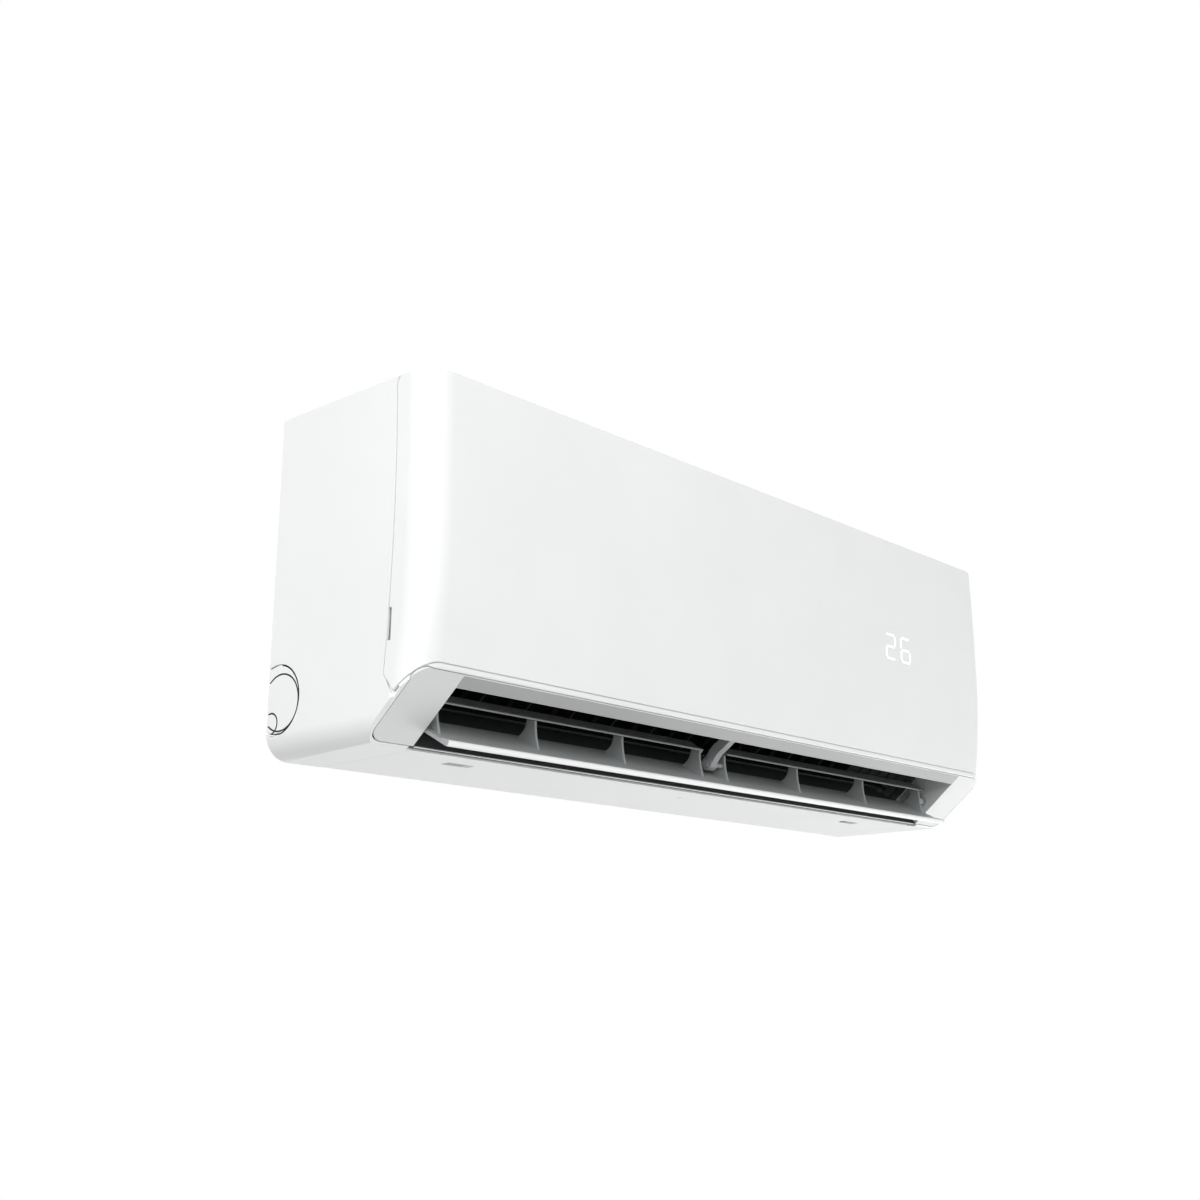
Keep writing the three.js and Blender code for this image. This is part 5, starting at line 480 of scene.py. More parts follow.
def combine(operation, base, *tools):
    """Boolean of base with each tool. The tools are used up."""
    for tool in tools:
        step = base.modifiers.new("step", "BOOLEAN")
        step.operation = operation
        step.solver = "MANIFOLD"
        step.object = tool
        apply_modifiers(base)
        bpy.data.objects.remove(tool)
    return base


def cut(base, *tools):
    return combine("DIFFERENCE", base, *tools)


def common(base, *tools):
    return combine("INTERSECT", base, *tools)


def fuse(base, *tools):
    return combine("UNION", base, *tools)


def joined(name, *objects):
    """One object holding the meshes of all, side by side."""
    work = bmesh.new()
    for obj in objects:
        work.from_mesh(obj.data)
        bpy.data.objects.remove(obj)
    mesh = bpy.data.meshes.new(name)
    work.to_mesh(mesh)
    work.free()
    return linked(name, mesh)


def cad_copy(node):
    """A welded copy of a node's mesh in the unit's millimetres."""
    mesh = NODES[node].data.copy()
    mesh.transform(TO_FRAME.inverted())
    work = bmesh.new()
    work.from_mesh(mesh)
    bmesh.ops.remove_doubles(work, verts=work.verts, dist=CAD_WELD)
    work.to_mesh(mesh)
    work.free()
    return linked(node + "_copy", mesh)


def finish_piece(obj, name, body, slot, *replaced, look=None):
    """Moves a finished shape into the frame, dresses it and ties it to its body.

    Its material is the slot's own, unless another look is named.
    """
    mesh = obj.data
    mesh.transform(TO_FRAME)
    obj.name = name
    mesh.name = name
    mesh.polygons.foreach_set("use_smooth", [True] * len(mesh.polygons))
    mesh.set_sharp_from_angle(angle=SMOOTH_ANGLE)
    weigh = obj.modifiers.new("even_normals", "WEIGHTED_NORMAL")
    weigh.keep_sharp = True
    mesh.materials.clear()
    mesh.materials.append(MATERIALS[look or slot])
    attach(obj, body)
    if replaced:
        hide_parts(*replaced)
    return obj


# ------------------------------------------------------------------ node materials
def linear(value):
    value /= 255
    return value / 12.92 if value <= 0.04045 else ((value + 0.055) / 1.055) ** 2.4


def tone(red, green=None, blue=None):
    """A colour written as it shows on a screen, 0 to 255. One number gives a grey."""
    green = red if green is None else green
    blue = red if blue is None else blue
    return (linear(red), linear(green), linear(blue), 1.0)


class Nodes:
    """A few short calls for building a node material."""

    def __init__(self, name):
        self.material = bpy.data.materials.new(name)
        self.material.use_nodes = True
        self.tree = self.material.node_tree
        self.tree.nodes.clear()
        self.output = self.tree.nodes.new("ShaderNodeOutputMaterial")
        self.shader = self.tree.nodes.new("ShaderNodeBsdfPrincipled")
        self.link(self.shader, "BSDF", self.output, "Surface")
        self.place = self.tree.nodes.new("ShaderNodeTexCoord")

    def add(self, kind, **values):
        node = self.tree.nodes.new(kind)
        for key, value in values.items():
            setattr(node, key, value)
        return node

    def link(self, source, out, target, into):
        self.tree.links.new(source.outputs[out], target.inputs[into])

    def noise(self, scale, detail=2.0):
        node = self.add("ShaderNodeTexNoise")
        node.inputs["Scale"].default_value = scale
        node.inputs["Detail"].default_value = detail
        self.link(self.place, "Object", node, "Vector")
        return node

    def ramp(self, source, out, low, high, start=0.3, end=0.7):
        node = self.add("ShaderNodeValToRGB")
        node.color_ramp.elements[0].position = start
        node.color_ramp.elements[0].color = low
        node.color_ramp.elements[1].position = end
        node.color_ramp.elements[1].color = high
        self.link(source, out, node, "Fac")
        return node

    def spread(self, source, out, low, high):
        node = self.add("ShaderNodeMapRange")
        node.inputs["To Min"].default_value = low
        node.inputs["To Max"].default_value = high
        self.link(source, out, node, "Value")
        return node


def moulded(name, low, high, roughness, grain=900.0, blotch=9.0, depth=0.00002, metallic=0.0,
            edge=0.0006):
    """Moulded plastic or worked metal: faint tone drift, fine grain in bump and roughness, and
    softened edges."""
    nodes = Nodes(name)
    drift = nodes.noise(blotch, 3.0)
    colour = nodes.ramp(drift, "Fac", low, high)
    nodes.link(colour, "Color", nodes.shader, "Base Color")
    fine = nodes.noise(grain)
    rough = nodes.spread(fine, "Fac", *roughness)
    nodes.link(rough, "Result", nodes.shader, "Roughness")
    soft = nodes.add("ShaderNodeBevel", samples=6)
    soft.inputs["Radius"].default_value = edge
    bump = nodes.add("ShaderNodeBump")
    bump.inputs["Strength"].default_value = BUMP_STRENGTH
    bump.inputs["Distance"].default_value = depth
    nodes.link(fine, "Fac", bump, "Height")
    nodes.link(soft, "Normal", bump, "Normal")
    nodes.link(bump, "Normal", nodes.shader, "Normal")
    nodes.shader.inputs["Metallic"].default_value = metallic
    return nodes


def fins_with_painted_gap_shade():
    """Aluminium fin pack seen edge-on: bright fins with painted shade in the close gaps between
    them.
    """
    nodes = moulded("coil_fins", tone(150, 156, 160), tone(196, 200, 203), (0.35, 0.5),
                    metallic=0.7)
    wave = nodes.add("ShaderNodeTexWave", bands_direction="X")
    wave.inputs["Scale"].default_value = 220.0
    nodes.link(nodes.place, "Object", wave, "Vector")
    # Painted shade: the wave's dark bands stand for the shade between the fins.
    fin_gap_shade = nodes.ramp(wave, "Fac", tone(38, 40, 42), tone(190, 195, 198), 0.15, 0.6)
    nodes.link(fin_gap_shade, "Color", nodes.shader, "Base Color")
    return nodes.material


def board():
    """Green circuit board with paler copper runs under the lacquer."""
    nodes = moulded("board", tone(24, 78, 50), tone(34, 98, 62), (0.3, 0.45))
    cells = nodes.add("ShaderNodeTexBrick")
    cells.inputs["Scale"].default_value = 60.0
    cells.inputs["Color1"].default_value = tone(24, 84, 52)
    cells.inputs["Color2"].default_value = tone(38, 112, 70)
    cells.inputs["Mortar"].default_value = tone(92, 140, 84)
    nodes.link(nodes.place, "Object", cells, "Vector")
    nodes.link(cells, "Color", nodes.shader, "Base Color")
    return nodes.material


def glowing():
    """Lamp segments behind a pale film."""
    nodes = Nodes("lit_segment")
    cloud = nodes.noise(120.0)
    colour = nodes.ramp(cloud, "Fac", tone(244, 248, 255), tone(255, 255, 255))
    nodes.link(colour, "Color", nodes.shader, "Base Color")
    nodes.link(colour, "Color", nodes.shader, "Emission Color")
    nodes.shader.inputs["Emission Strength"].default_value = 1.0
    nodes.shader.inputs["Roughness"].default_value = 0.4
    return nodes.material


def make_materials():
    materials = {}
    for name, (low, high, roughness) in PLASTICS.items():
        materials[name] = moulded(name, tone(*low), tone(*high), roughness).material
    for name, (low, high, roughness, grain, blotch) in METALS.items():
        metal = moulded(name, tone(*low), tone(*high), roughness, grain, blotch,
                        METAL_GRAIN_DEPTH, 1.0, METAL_EDGE)
        materials[name] = metal.material
    materials["aluminium"] = fins_with_painted_gap_shade()
    materials["board"] = board()
    materials["lit"] = glowing()
    return materials


MATERIALS = make_materials()


# ------------------------------------------------------------------ outer form
def front_depth(height):
    """How far the front stands out of the wall at a height."""
    outlet_top = (OUTLET_EDGE_HEIGHT
                  + (LOWER_EDGE_DEPTH - OUTLET_EDGE_DEPTH) * SLANT_SIN / SLANT_COS)
    above = height > BELLY_HEIGHT
    edge = UNIT_HEIGHT if above else outlet_top
    fall = BELLY_DEPTH - (TOP_DEPTH if above else LOWER_EDGE_DEPTH)
    return BELLY_DEPTH - fall * ((height - BELLY_HEIGHT) / (edge - BELLY_HEIGHT)) ** 2


def plan_ring(height, inset, rear):
    half = HALF_WIDTH - inset
    front = front_depth(height) - inset
    radius = max(PLAN_CORNER_RADIUS - inset, SEAM)
    left = arc((radius - half, radius - front), radius, 180, 270, ROUND)
    right = arc((half - radius, radius - front), radius, 270, 360, ROUND)
    outline = [(half, -rear), (-half, -rear)] + left + right
    return [(x, y, height) for x, y in outline]


def form(inset):
    """The outer form drawn in by an inset on every side but the wall side."""
    rear = -OVERRUN if inset > 0 else 0.0
    low = -WALL
    high = UNIT_HEIGHT - inset
    rings = [plan_ring(low + (high - low) * i / LEVELS, inset, rear)
             for i in range(LEVELS + 1)]

    def under(depth):
        return (depth, UNDER_SLOPE * depth + inset)

    edge = crossing(under(0), under(1), duct_point(inset, 0), duct_point(inset, 1))
    past = duct_point(inset, 2 * UNIT_HEIGHT)
    section = prism([under(rear), edge, past, (rear, past[1])], side_place,
                    -UNIT_WIDTH, UNIT_WIDTH)
    half = HALF_WIDTH - inset
    radius = BOTTOM_CORNER_RADIUS - inset
    ends = prism(rounded(-half, half, inset, UNIT_HEIGHT + WALL, radius, 0), front_place,
                 rear, 2 * TOP_DEPTH)
    return common(loft(rings), section, ends)


def shell():
    return cut(form(0), form(WALL))


def seam_depth(height):
    """Depth of the seam between the panel and the casing's side."""
    return SEAM_BELLY_DEPTH - SEAM_CURVE * (height - SEAM_BELLY_HEIGHT) ** 2


def panel_space(gap):
    """The space in front of the side seam, grown rearwards and downwards by a gap."""
    axis_depth, axis_height = PANEL_AXIS
    radius = axis_depth - seam_depth(axis_height) + gap
    reach = math.degrees(math.asin((UNIT_HEIGHT - axis_height) / radius))
    hinge = arc(PANEL_AXIS, radius, 180, 180 - reach, ROUND)
    seam = []
    for i in range(LEVELS):
        height = SEAM_FOOT_HEIGHT + (axis_height - SEAM_FOOT_HEIGHT) * i / LEVELS
        seam.append((seam_depth(height) - gap, height))
    low = [duct_point(RIM_BAND - gap, up) for up in (0, 1)]
    below = (seam[0][0] + SLANT_SIN, seam[0][1] - SLANT_COS)
    foot = crossing(seam[0], below, *low)
    far = 2 * TOP_DEPTH
    front = crossing(*low, (far, 0), (far, 1))
    outline = [foot, front, (far, 2 * UNIT_HEIGHT), (hinge[-1][0], 2 * UNIT_HEIGHT)]
    outline += hinge[::-1] + seam[::-1]
    return prism(outline, side_place, -UNIT_WIDTH, UNIT_WIDTH)


# ------------------------------------------------------------------ panel and casing
def front_panel_skin():
    low, high, depth = FINGER_TAB
    rear = seam_depth(low) - depth
    tabs = block(-UNIT_WIDTH, UNIT_WIDTH, rear, seam_depth(low) + depth, low, high)
    cover = cut(common(shell(), panel_space(0)), tabs)
    inner = common(cad_copy("front_panel"), form(WALL))
    skin = joined("front_panel_skin", cover, inner)
    finish_piece(skin, "front_panel_skin", "front_panel", "casing_white", "front_panel")


def outlet_outline(gap):
    return rounded(-FRAME_HALF - gap, FRAME_HALF + gap, OUTLET_FOOT - gap, FRAME_TOP + gap,
                   OUTLET_FRAME_RADIUS)


def finger_scoop(side):
    """The recess in a side behind the panel's slanted lower corner."""
    inside, up = duct_place(seam_depth(SEAM_FOOT_HEIGHT), SEAM_FOOT_HEIGHT)
    low = up - SCOOP_WIDTH
    line = bezier((-WALL, low), (2 * inside / 3, low), (inside + SCOOP_TIP, up + SCOOP_TIP),
                  ROUND)
    outline = [duct_point(*p) for p in line] + [duct_point(-WALL, up + SCOOP_TIP)]
    ends = sorted((side * (HALF_WIDTH - SCOOP_DEPTH), side * (HALF_WIDTH + WALL)))
    return prism(outline, side_place, *ends)


def front_casing_skin():
    grille_half, grille_rear, grille_front = GRILLE_HOLE
    lip_half = DUCT_WALL_X + SEAM
    tools = [
        panel_space(SEAM),
        block(-grille_half, grille_half, grille_rear, grille_front, UNIT_HEIGHT - GRILLE_CUT,
              2 * UNIT_HEIGHT),
        block(-COVER_HALF_WIDTH, COVER_HALF_WIDTH, -WALL, COVER_FRONT + SEAM, -WALL,
              BOTTOM_CORNER_RADIUS),
        prism(outlet_outline(SEAM), plate_place, -WALL, WALL + FIT),
        block(-lip_half, lip_half, COVER_FRONT, OUTLET_EDGE_DEPTH + WALL, -WALL,
              BOTTOM_CORNER_RADIUS),
        prism(circle(KNOCKOUT[:2], KNOCKOUT[2]), side_place, -UNIT_WIDTH, UNIT_WIDTH),
        finger_scoop(-1),
        finger_scoop(1),
    ]
    skin = cut(shell(), *tools)
    inner = common(cad_copy("front_casing"), form(WALL))
    casing = joined("front_casing_skin", skin, inner)
    finish_piece(casing, "front_casing_skin", "unit", "casing_white", "front_casing")


def knockout_skin(side, node):
    """The pipe cover in a side, with the grooves along which it breaks out, and its back, painted
    black as shade.
    """
    depth, height, radius = KNOCKOUT
    ends = sorted((side * (HALF_WIDTH - WALL), side * HALF_WIDTH))
    face = sorted((side * (HALF_WIDTH - BREAK_DEPTH), side * (HALF_WIDTH + OVERRUN)))
    disc = prism(circle((depth, height), radius - BREAK_LINE, BIG_CIRCLE), side_place, *ends)
    plate = common(disc, form(0),
                   block(-UNIT_WIDTH, UNIT_WIDTH, FIT, UNIT_WIDTH, 0, UNIT_HEIGHT))
    for centre, ring in BREAK_RINGS:
        groove = cut(prism(circle(centre, ring + BREAK_LINE, BIG_CIRCLE), side_place, *face),
                     prism(circle(centre, ring, BIG_CIRCLE), side_place,
                           -UNIT_WIDTH, UNIT_WIDTH))
        plate = cut(plate, groove)
    piece = finish_piece(plate, node + "_skin", "unit", "casing_white", node)
    # Painted shade: faces sunk below the side's face (the grooves, the rim and the back) get
    # black.
    piece.data.materials.append(MATERIALS["black_plastic"])
    shade_paint_limit = (HALF_WIDTH - SHADE_PAINT_DEPTH) / METRE
    for polygon in piece.data.polygons:
        if abs(polygon.center.x) < shade_paint_limit:
            polygon.material_index = 1


# ------------------------------------------------------------------ outlet trim
def outlet_trim():
    """The grey plate round the outlet with its cheeks and the flange behind the lip's painted
    shade strip.
    """
    lip_low = FRAME_TOP - OUTLET_LIP
    half = OUTLET_HALF_WIDTH
    thick = OUTLET_FRAME_THICKNESS
    past = OUTLET_MOUTH_CUT
    plate = prism(outlet_outline(0), plate_place, 0, thick)
    mouth = prism([(-half, -past), (half, -past), (half, lip_low), (-half, lip_low)],
                  plate_place, -OVERRUN, past)
    body = cut(plate, mouth)
    cheek_top = lip_low + OUTLET_CHEEK_RISE
    for side in (-1, 1):
        ends = sorted((side * half, side * (half + thick)))
        outline = [(thick / 2, OUTLET_FOOT), (OUTLET_CHEEK_DEPTH, OUTLET_FOOT),
                   (OUTLET_CHEEK_DEPTH, cheek_top), (thick / 2, cheek_top)]
        body = fuse(body, prism(outline, duct_side_place, *ends))
    flange = [(thick / 2, lip_low), (OUTLET_LIP_RETURN - FIT, lip_low),
              (OUTLET_LIP_RETURN - FIT, lip_low + thick), (thick / 2, lip_low + thick)]
    body = fuse(body, prism(flange, duct_side_place, -half, half))
    reach = CHEEK_BORE_REACH
    body = cut(body, duct_bar(PIN_BORE, -half - reach, reach - half, *LOUVER_AXIS),
               duct_bar(SHAFT_BORE, half - OVERRUN, half + reach, *LOUVER_AXIS))
    finish_piece(body, "outlet_trim", "unit", "trim_grey", "outlet_frame")


def outlet_painted_shade_strip():
    """A darker sheet of painted shade over the mouth, standing for the shade on the frame's lip,
    and the light ridge under the louver.
    """
    low = FRAME_TOP - OUTLET_LIP + STRIP_LOW_GAP
    high = FRAME_TOP - STRIP_TOP_GAP
    half = OUTLET_HALF_WIDTH
    # Painted shade: a darker sheet laid just proud of the frame's lip.
    shade_sheet = prism(rounded(-half, half, low, high, STRIP_RADIUS), plate_place,
                        -STRIP_PROUD, STRIP_SUNK)
    finish_piece(shade_sheet, "outlet_painted_shade_strip", "unit", "trim_grey", look="painted_shade_grey")
    outer, inner = RIDGE_INSIDE
    foot, top = RIDGE_UP
    outline = softened([(outer, foot), (inner, foot), (inner, top), (outer, top)], RIDGE_ROUND)
    ridge = prism(outline, duct_side_place, -half + RIDGE_END_GAP, half - RIDGE_END_GAP)
    finish_piece(ridge, "outlet_ridge", "unit", "trim_grey")


# ------------------------------------------------------------------ louvers
def louver_rib(x):
    """A web from the louver's skin up to the small blades, with a curved toe and heel."""
    foot = LOUVER_FACE + LOUVER_SKIN / 2
    edge = foot + LOUVER_RIB_EDGE
    top = UPPER_LOUVER_HEIGHT - FIT
    half = LOUVER_RIB_THICKNESS / 2
    toe_foot, heel_foot = LOUVER_RIB_FOOT
    toe_waist, heel_waist = LOUVER_RIB_WAIST
    toe = bezier((toe_foot, edge), (toe_waist, 0.0), (UPPER_LOUVER_FRONT, top), RIB_STEPS)
    heel = bezier((LOUVER_RIB_REAR, top), (heel_waist, 0.0), (heel_foot, edge), RIB_STEPS)
    outline = [(toe_foot, foot)] + toe + heel + [(heel_foot, foot)]
    return prism(outline, louver_place, x - half, x + half)


def whiten_lip(piece):
    """The blade's rounded front edge is white, like the casing it closes against."""
    piece.data.materials.append(MATERIALS["casing_white"])
    axis = Vector(duct_side_place(LOUVER_AXIS, 0))
    outward = (Vector(louver_place((1, 0), 0)) - axis).normalized()
    for face in piece.data.polygons:
        place = TO_FRAME.inverted() @ face.center
        if (place - axis).dot(outward) > LOUVER_REACH - LOUVER_WHITE_LIP:
            face.material_index = 1


def main_louver_skin():
    inner = LOUVER_FACE + LOUVER_SKIN
    lip = LOUVER_FACE + LOUVER_LIP
    slope_length, slope_fall = LOUVER_LIP_SLOPE
    outline = softened([
        (-LOUVER_TAIL, LOUVER_FACE + LOUVER_TAIL_EDGE), (LOUVER_LIP - LOUVER_TAIL, LOUVER_FACE),
        (LOUVER_REACH, LOUVER_FACE), (LOUVER_REACH, lip),
        (LOUVER_REACH - slope_length - LOUVER_LIP, lip - slope_fall),
        (LOUVER_REACH - 2 * LOUVER_LIP, inner), (-LOUVER_TAIL, inner),
    ], LOUVER_ROUND)
    body = prism(outline, louver_place, -LOUVER_HALF_WIDTH, LOUVER_HALF_WIDTH)
    body = fuse(body, *[louver_rib(x) for x in LOUVER_RIBS])
    end = LOUVER_RIBS[-1]
    rib = LOUVER_RIB_THICKNESS
    pivot_end = -OUTLET_HALF_WIDTH - OUTLET_FRAME_THICKNESS
    body = fuse(body, louver_bar(PIN_RADIUS, pivot_end, -end),
                louver_bar(SHAFT_BOSS, end - 1, LOUVER_HALF_WIDTH - 1))
    body = cut(body, louver_bar(PIN_BORE, LOUVER_ARM_RIB - rib, LOUVER_ARM_RIB + rib),
               louver_bar(PIN_BORE, end + 2, LOUVER_HALF_WIDTH + OVERRUN))
    piece = finish_piece(body, "main_louver_skin", "louver", "louver_grey", "main_louver")
    whiten_lip(piece)


def upper_louver_skin(name, left, right):
    """A small blade over the main one, with its rounded end plate at the right."""
    low = UPPER_LOUVER_HEIGHT
    high = low + UPPER_LOUVER_THICKNESS
    rear = UPPER_LOUVER_REAR
    front = UPPER_LOUVER_FRONT
    nose = UPPER_LOUVER_NOSE
    blade = prism(softened([(rear, low + 1), (front - nose, low), (front, low),
                            (front + 1, low + 1), (front, high), (front - nose, high),
                            (rear, high + 1)], UPPER_LOUVER_ROUND),
                  louver_place, left, right)
    turned = arc((front - nose / 2, low), nose / 2, 0, -180, ROUND)
    turned = [(front, low + 1)] + turned + [(front - nose, low + 1)]
    end_plate = prism(turned, louver_place, right - UPPER_LOUVER_THICKNESS, right)
    finish_piece(fuse(blade, end_plate), name + "_skin", "louver", "louver_grey", name)


def support_arm_skin():
    """The curved arm under the lip's painted shade strip that carries the louver at mid-span."""
    inside, up = LOUVER_AXIS
    top = FRAME_TOP - OUTLET_LIP - FIT
    drop = top - up
    left = ARM_X - ARM_HALF_THICKNESS
    right = ARM_X + ARM_HALF_THICKNESS
    bend = [(ARM_BEND[0], top), (ARM_BEND[1], top - drop / 3),
            (ARM_BEND[2], top - 2 * drop / 3), (inside, up)]
    strap = prism(strip(catmull(bend, ARM_STEPS), ARM_WIDTH), duct_side_place, left, right)
    outer, inner, foot_top = ARM_FOOT
    foot_low = top - WALL
    foot = prism([(outer, foot_low), (inner, foot_low), (inner, foot_top), (outer, foot_top)],
                 duct_side_place, ARM_X - ARM_FOOT_HALF_WIDTH, ARM_X + ARM_FOOT_HALF_WIDTH)
    face = left - ARM_EYE_PROUD
    eye = duct_bar(ARM_EYE_RADIUS, face, right, inside, up)
    ring_radius, ring_hole = ARM_RING_RADII
    ring = cut(duct_bar(ring_radius, face - ARM_RING_PROUD, face + ARM_RING_PROUD, inside, up),
               duct_bar(ring_hole, face - OVERRUN, face + OVERRUN, inside, up))
    body = fuse(strap, foot, eye, ring)
    body = cut(body, duct_bar(PIN_BORE, ARM_X - ARM_FOOT_HALF_WIDTH,
                              ARM_X + ARM_FOOT_HALF_WIDTH, inside, up))
    finish_piece(body, "support_arm_skin", "unit", "louver_grey", "louver_support_arm")


# ------------------------------------------------------------------ fan
def fan_bar(radius, start, end, steps):
    return prism(circle(FAN[:2], radius, steps), side_place, start, end)


def fan_blade(angle):
    depth, height, radius = FAN
    left, right = FAN_SPAN
    line = []
    for i in range(FAN_BLADE_STEPS + 1):
        share = i / FAN_BLADE_STEPS
        r = FAN_BLADE_ROOT + (radius - FAN_BLADE_INSET - FAN_BLADE_ROOT) * share
        turn = angle + math.radians(FAN_SWEEP * share + FAN_BOW * math.sin(math.pi * share))
        line.append((depth + r * math.cos(turn), height + r * math.sin(turn)))
    return prism(strip(line, FAN_BLADE_THICKNESS), side_place, left + 1, right - 1)


def fan_skin():
    """Cross-flow fan: slim blades in bays between rings, closed at both ends by discs."""
    left, right = FAN_SPAN
    thick = FAN_RING_THICKNESS
    parts = [fan_blade(2 * math.pi * i / FAN_BLADES) for i in range(FAN_BLADES)]
    bay = (right - left - thick) / FAN_BAYS
    for i in range(FAN_BAYS + 1):
        start = left + bay * i
        inner_ring = 0 < i < FAN_BAYS
        hole = FAN_RING_HOLE if inner_ring else FAN_BORE
        parts.append(cut(fan_bar(FAN[2], start, start + thick, BIG_CIRCLE),
                         fan_bar(hole, start - OVERRUN, start + thick + OVERRUN,
                                 CIRCLE if inner_ring else SMALL_CIRCLE)))
    near, far = FAN_HUB_ENDS
    for start, end in ((left + near, left + far), (right - far, right - near)):
        parts.append(cut(fan_bar(FAN_HUB_RADIUS, start, end, HUB_CIRCLE),
                         fan_bar(FAN_BORE, start - OVERRUN, end + OVERRUN, SMALL_CIRCLE)))
    body = joined("crossflow_fan_skin", *parts)
    finish_piece(body, "crossflow_fan_skin", "fan", NODE_SLOTS["crossflow_fan"],
                 "crossflow_fan")


# ------------------------------------------------------------------ filter nets
def filter_net(name, node, body):
    """Dust net in a filter's frame: upright threads with level ones behind them."""
    low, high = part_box(node)
    left, right = low[0] * METRE + NET_BORDER, high[0] * METRE - NET_BORDER
    base = low[2] * METRE + FRAME_LOW + NET_BORDER
    top = high[2] * METRE + FRAME_LOW - NET_BORDER
    middle = -(low[1] + high[1]) / 2 * METRE
    half = NET_HALF_THREAD
    vertices = []
    faces = []

    def thread(across, outward, upward):
        start = len(vertices)
        vertices.extend([(x, -y, z) for x in across for y in outward for z in upward])
        faces.extend(tuple(start + k for k in face) for face in BOX_FACES)

    columns = int((right - left) / NET_PITCH)
    for i in range(columns + 1):
        x = left + (right - left) * i / columns
        thread((x - half, x + half), (middle, middle + 2 * half), (base, top))
    rows = int((top - base) / NET_PITCH)
    for i in range(rows + 1):
        z = base + (top - base) * i / rows
        thread((left, right), (middle - 2 * half, middle), (z - half, z + half))
    finish_piece(new_object(name, vertices, faces), name, body, "black_plastic")


# ------------------------------------------------------------------ lit digits
def digit_segments(value, centre_x, centre_z):
    """The lit bars of one seven-segment digit, following the panel's face."""
    parts = []
    for name in LIT[value]:
        start, end = (Vector((centre_x + u * DIGIT_HALF[0], centre_z + v * DIGIT_HALF[1]))
                      for u, v in SEGMENTS[name])
        along = (end - start).normalized()
        across = Vector((-along.y, along.x)) * SEGMENT_WIDTH / 2
        start += along * SEGMENT_GAP
        end -= along * SEGMENT_GAP
        tip = along * SEGMENT_WIDTH / 2
        outline = [start - tip, start + across, end + across, end + tip, end - across,
                   start - across]
        depth = front_depth(start.y)
        parts.append(prism([tuple(p) for p in outline], front_place, depth - DIGIT_SUNK,
                           depth + DIGIT_PROUD))
    return parts


def lit_digits():
    parts = digit_segments(2, DIGITS_X - DIGIT_STEP / 2, DIGITS_Z)
    parts += digit_segments(6, DIGITS_X + DIGIT_STEP / 2, DIGITS_Z)
    digits = joined("lit_digits", *parts)
    finish_piece(digits, "lit_digits", "front_panel", "casing_white", look="lit")


# ------------------------------------------------------------------ carried-over CAD nodes
def smooth_group():
    """Smooth shading where two faces meet at a shallow angle."""
    group = bpy.data.node_groups.new("smooth_by_angle", "GeometryNodeTree")
    group.interface.new_socket("Geometry", in_out="INPUT", socket_type="NodeSocketGeometry")
    group.interface.new_socket("Geometry", in_out="OUTPUT", socket_type="NodeSocketGeometry")
    start = group.nodes.new("NodeGroupInput")
    end = group.nodes.new("NodeGroupOutput")
    weld = group.nodes.new("GeometryNodeMergeByDistance")
    weld.inputs["Distance"].default_value = SHOWN_WELD
    faces = group.nodes.new("GeometryNodeSetShadeSmooth")
    faces.domain = "FACE"
    edges = group.nodes.new("GeometryNodeSetShadeSmooth")
    edges.domain = "EDGE"
    angle = group.nodes.new("GeometryNodeInputMeshEdgeAngle")
    shallow = group.nodes.new("FunctionNodeCompare")
    shallow.data_type = "FLOAT"
    shallow.operation = "LESS_EQUAL"
    shallow.inputs["B"].default_value = SMOOTH_ANGLE
    link = group.links.new
    link(start.outputs[0], weld.inputs["Geometry"])
    link(weld.outputs[0], faces.inputs["Geometry"])
    link(faces.outputs[0], edges.inputs["Geometry"])
    link(angle.outputs["Unsigned Angle"], shallow.inputs["A"])
    link(shallow.outputs[0], edges.inputs["Shade Smooth"])
    link(edges.outputs[0], end.inputs[0])
    return group


def dress_nodes():
    """Every CAD node gets its slot's material. The latches are painted a mid grey that stands for
    the shade in their recessed pockets.
    """
    group = smooth_group()
    for name, obj in NODES.items():
        # Painted shade on the latches, for their recessed pockets.
        look = "painted_pocket_shade_grey" if name.startswith("bottom_latch") else NODE_SLOTS[name]
        obj.data.materials.clear()
        obj.data.materials.append(MATERIALS[look])
        smooth = obj.modifiers.new("smooth", "NODES")
        smooth.node_group = group


# ------------------------------------------------------------------ studio
def background_rays(tree):
    """The socket that is 1 for camera, glossy and transmission rays, which see the background."""
    path = tree.nodes.new("ShaderNodeLightPath")
    seen = path.outputs["Is Camera Ray"]
    for kind in ("Is Glossy Ray", "Is Transmission Ray"):
        either = tree.nodes.new("ShaderNodeMath")
        either.operation = "MAXIMUM"
        tree.links.new(seen, either.inputs[0])
        tree.links.new(path.outputs[kind], either.inputs[1])
        seen = either.outputs[0]
    return seen


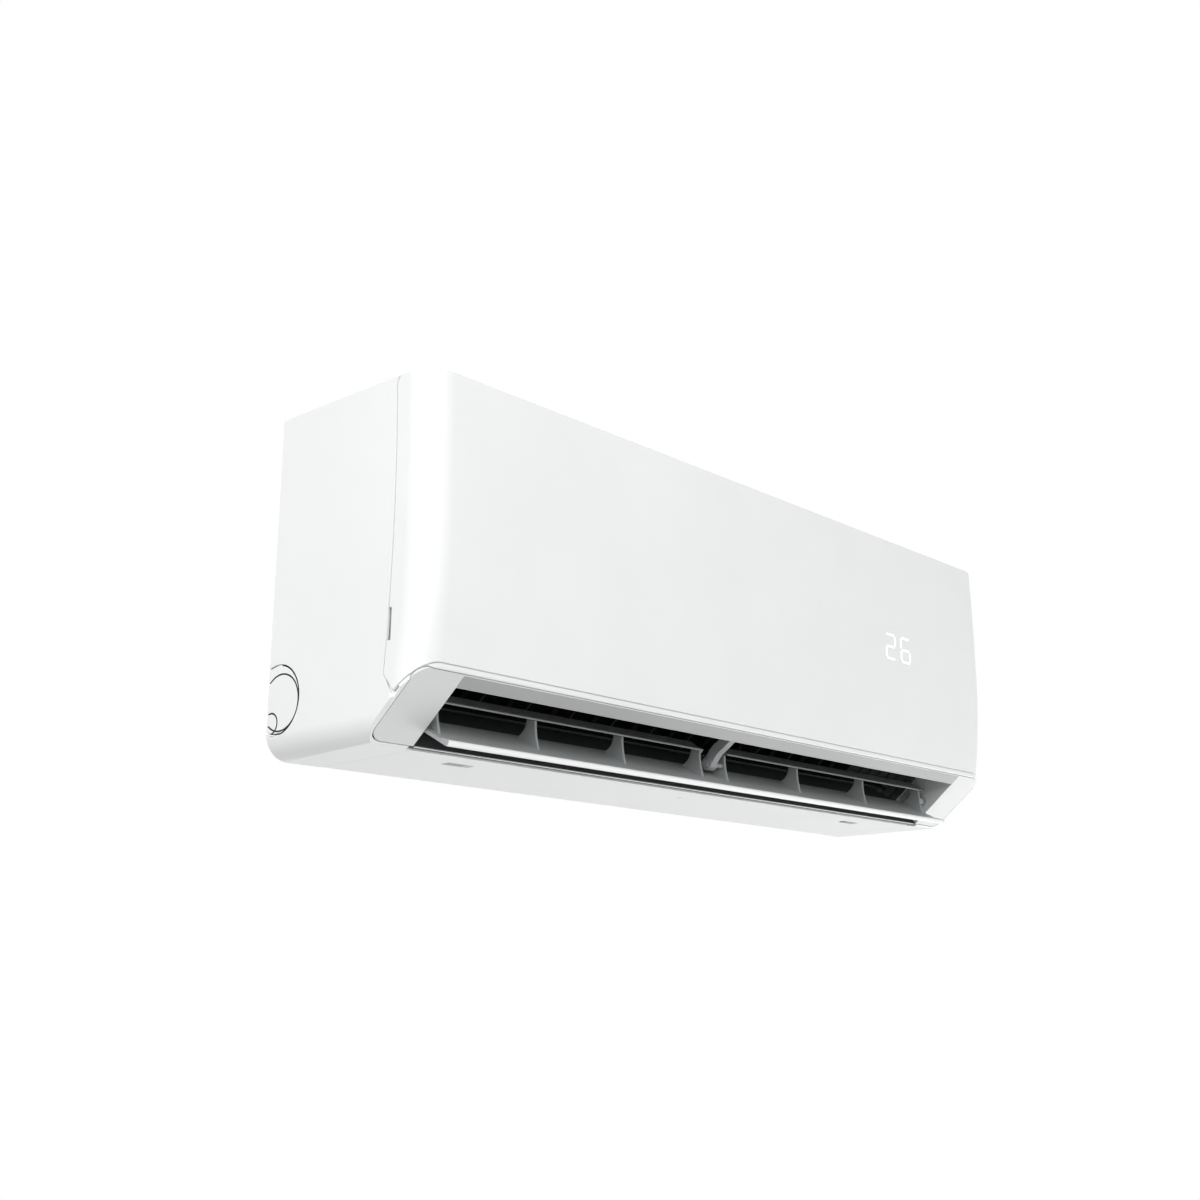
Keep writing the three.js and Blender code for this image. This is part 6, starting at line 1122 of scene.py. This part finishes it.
def stage_material():
    """Pale floor that keeps the object's shadow and passes into plain white further out."""
    nodes = Nodes("studio_floor")
    grain = nodes.noise(30.0)
    colour = nodes.ramp(grain, "Fac", tone(238), tone(242))
    nodes.link(colour, "Color", nodes.shader, "Base Color")
    nodes.shader.inputs["Roughness"].default_value = 0.9
    white = nodes.add("ShaderNodeEmission")
    reach = nodes.add("ShaderNodeVectorMath", operation="LENGTH")
    nodes.link(nodes.place, "Object", reach, 0)
    fade = nodes.add("ShaderNodeMapRange", interpolation_type="SMOOTHSTEP")
    fade.inputs["From Min"].default_value = FLOOR_FADE[0]
    fade.inputs["From Max"].default_value = FLOOR_FADE[1]
    nodes.link(reach, "Value", fade, "Value")
    both = nodes.add("ShaderNodeMath", operation="MULTIPLY")
    nodes.tree.links.new(background_rays(nodes.tree), both.inputs[0])
    nodes.link(fade, "Result", both, 1)
    mix = nodes.add("ShaderNodeMixShader")
    nodes.link(both, 0, mix, "Fac")
    nodes.link(nodes.shader, "BSDF", mix, 1)
    nodes.link(white, "Emission", mix, 2)
    nodes.link(mix, "Shader", nodes.output, "Surface")
    return nodes.material


def add_floor():
    size = FLOOR_HALF_SIZE
    corners = [(-size, -size, FLOOR_HEIGHT), (size, -size, FLOOR_HEIGHT),
               (size, size, FLOOR_HEIGHT), (-size, size, FLOOR_HEIGHT)]
    floor = new_object("studio_floor", corners, [(0, 1, 2, 3)])
    floor.data.materials.append(stage_material())


def add_world():
    """Soft even light on the object, and plain white where the background is seen."""
    world = bpy.data.worlds.new("studio")
    bpy.context.scene.world = world
    world.use_nodes = True
    tree = world.node_tree
    tree.nodes.clear()
    output = tree.nodes.new("ShaderNodeOutputWorld")
    mix = tree.nodes.new("ShaderNodeMixShader")
    tree.links.new(background_rays(tree), mix.inputs["Fac"])
    for into, strength in ((1, WORLD_STRENGTH), (2, 1.0)):
        light = tree.nodes.new("ShaderNodeBackground")
        light.inputs["Color"].default_value = WHITE
        light.inputs["Strength"].default_value = strength
        tree.links.new(light.outputs[0], mix.inputs[into])
    tree.links.new(mix.outputs[0], output.inputs["Surface"])


def add_lamp(name, place, target, size, power):
    data = bpy.data.lights.new(name, "AREA")
    data.shape = "RECTANGLE"
    data.size, data.size_y = size
    data.energy = power
    lamp = linked(name, data)
    lamp.location = place
    lamp.rotation_euler = (Vector(target) - Vector(place)).to_track_quat("-Z", "Y").to_euler()
    lamp.visible_camera = False


def add_camera():
    """The photograph's camera: place, direction, roll and lens."""
    level = math.cos(CAMERA_ELEVATION)
    view = Vector((math.sin(CAMERA_AZIMUTH) * level, math.cos(CAMERA_AZIMUTH) * level,
                   math.sin(CAMERA_ELEVATION)))
    right = view.cross(Vector((0, 0, 1))).normalized()
    up = right.cross(view)
    turned = math.cos(CAMERA_ROLL) * right + math.sin(CAMERA_ROLL) * up
    above = -math.sin(CAMERA_ROLL) * right + math.cos(CAMERA_ROLL) * up
    data = bpy.data.cameras.new("camera")
    data.sensor_width = CAMERA_SENSOR
    data.lens = CAMERA_LENS
    data.clip_end = CAMERA_FAR
    camera = linked("camera", data)
    basis = Matrix((turned, above, -view)).transposed().to_4x4()
    camera.matrix_world = Matrix.Translation(CAMERA_PLACE) @ basis
    bpy.context.scene.camera = camera


# ------------------------------------------------------------------ the scene
dress_nodes()
front_panel_skin()
front_casing_skin()
outlet_trim()
outlet_painted_shade_strip()
main_louver_skin()
for upper_louver in UPPER_LOUVERS:
    upper_louver_skin(*upper_louver)
support_arm_skin()
fan_skin()
filter_net("filter_net_left", "air_filter_left", "filter_left")
filter_net("filter_net_right", "air_filter_right", "filter_right")
lit_digits()
knockout_skin(-1, "knockout_cover_left")
knockout_skin(1, "knockout_cover_right")

add_floor()
add_world()
for lamp in LAMPS:
    add_lamp(*lamp)
add_camera()
bpy.context.scene.view_settings.view_transform = "Standard"
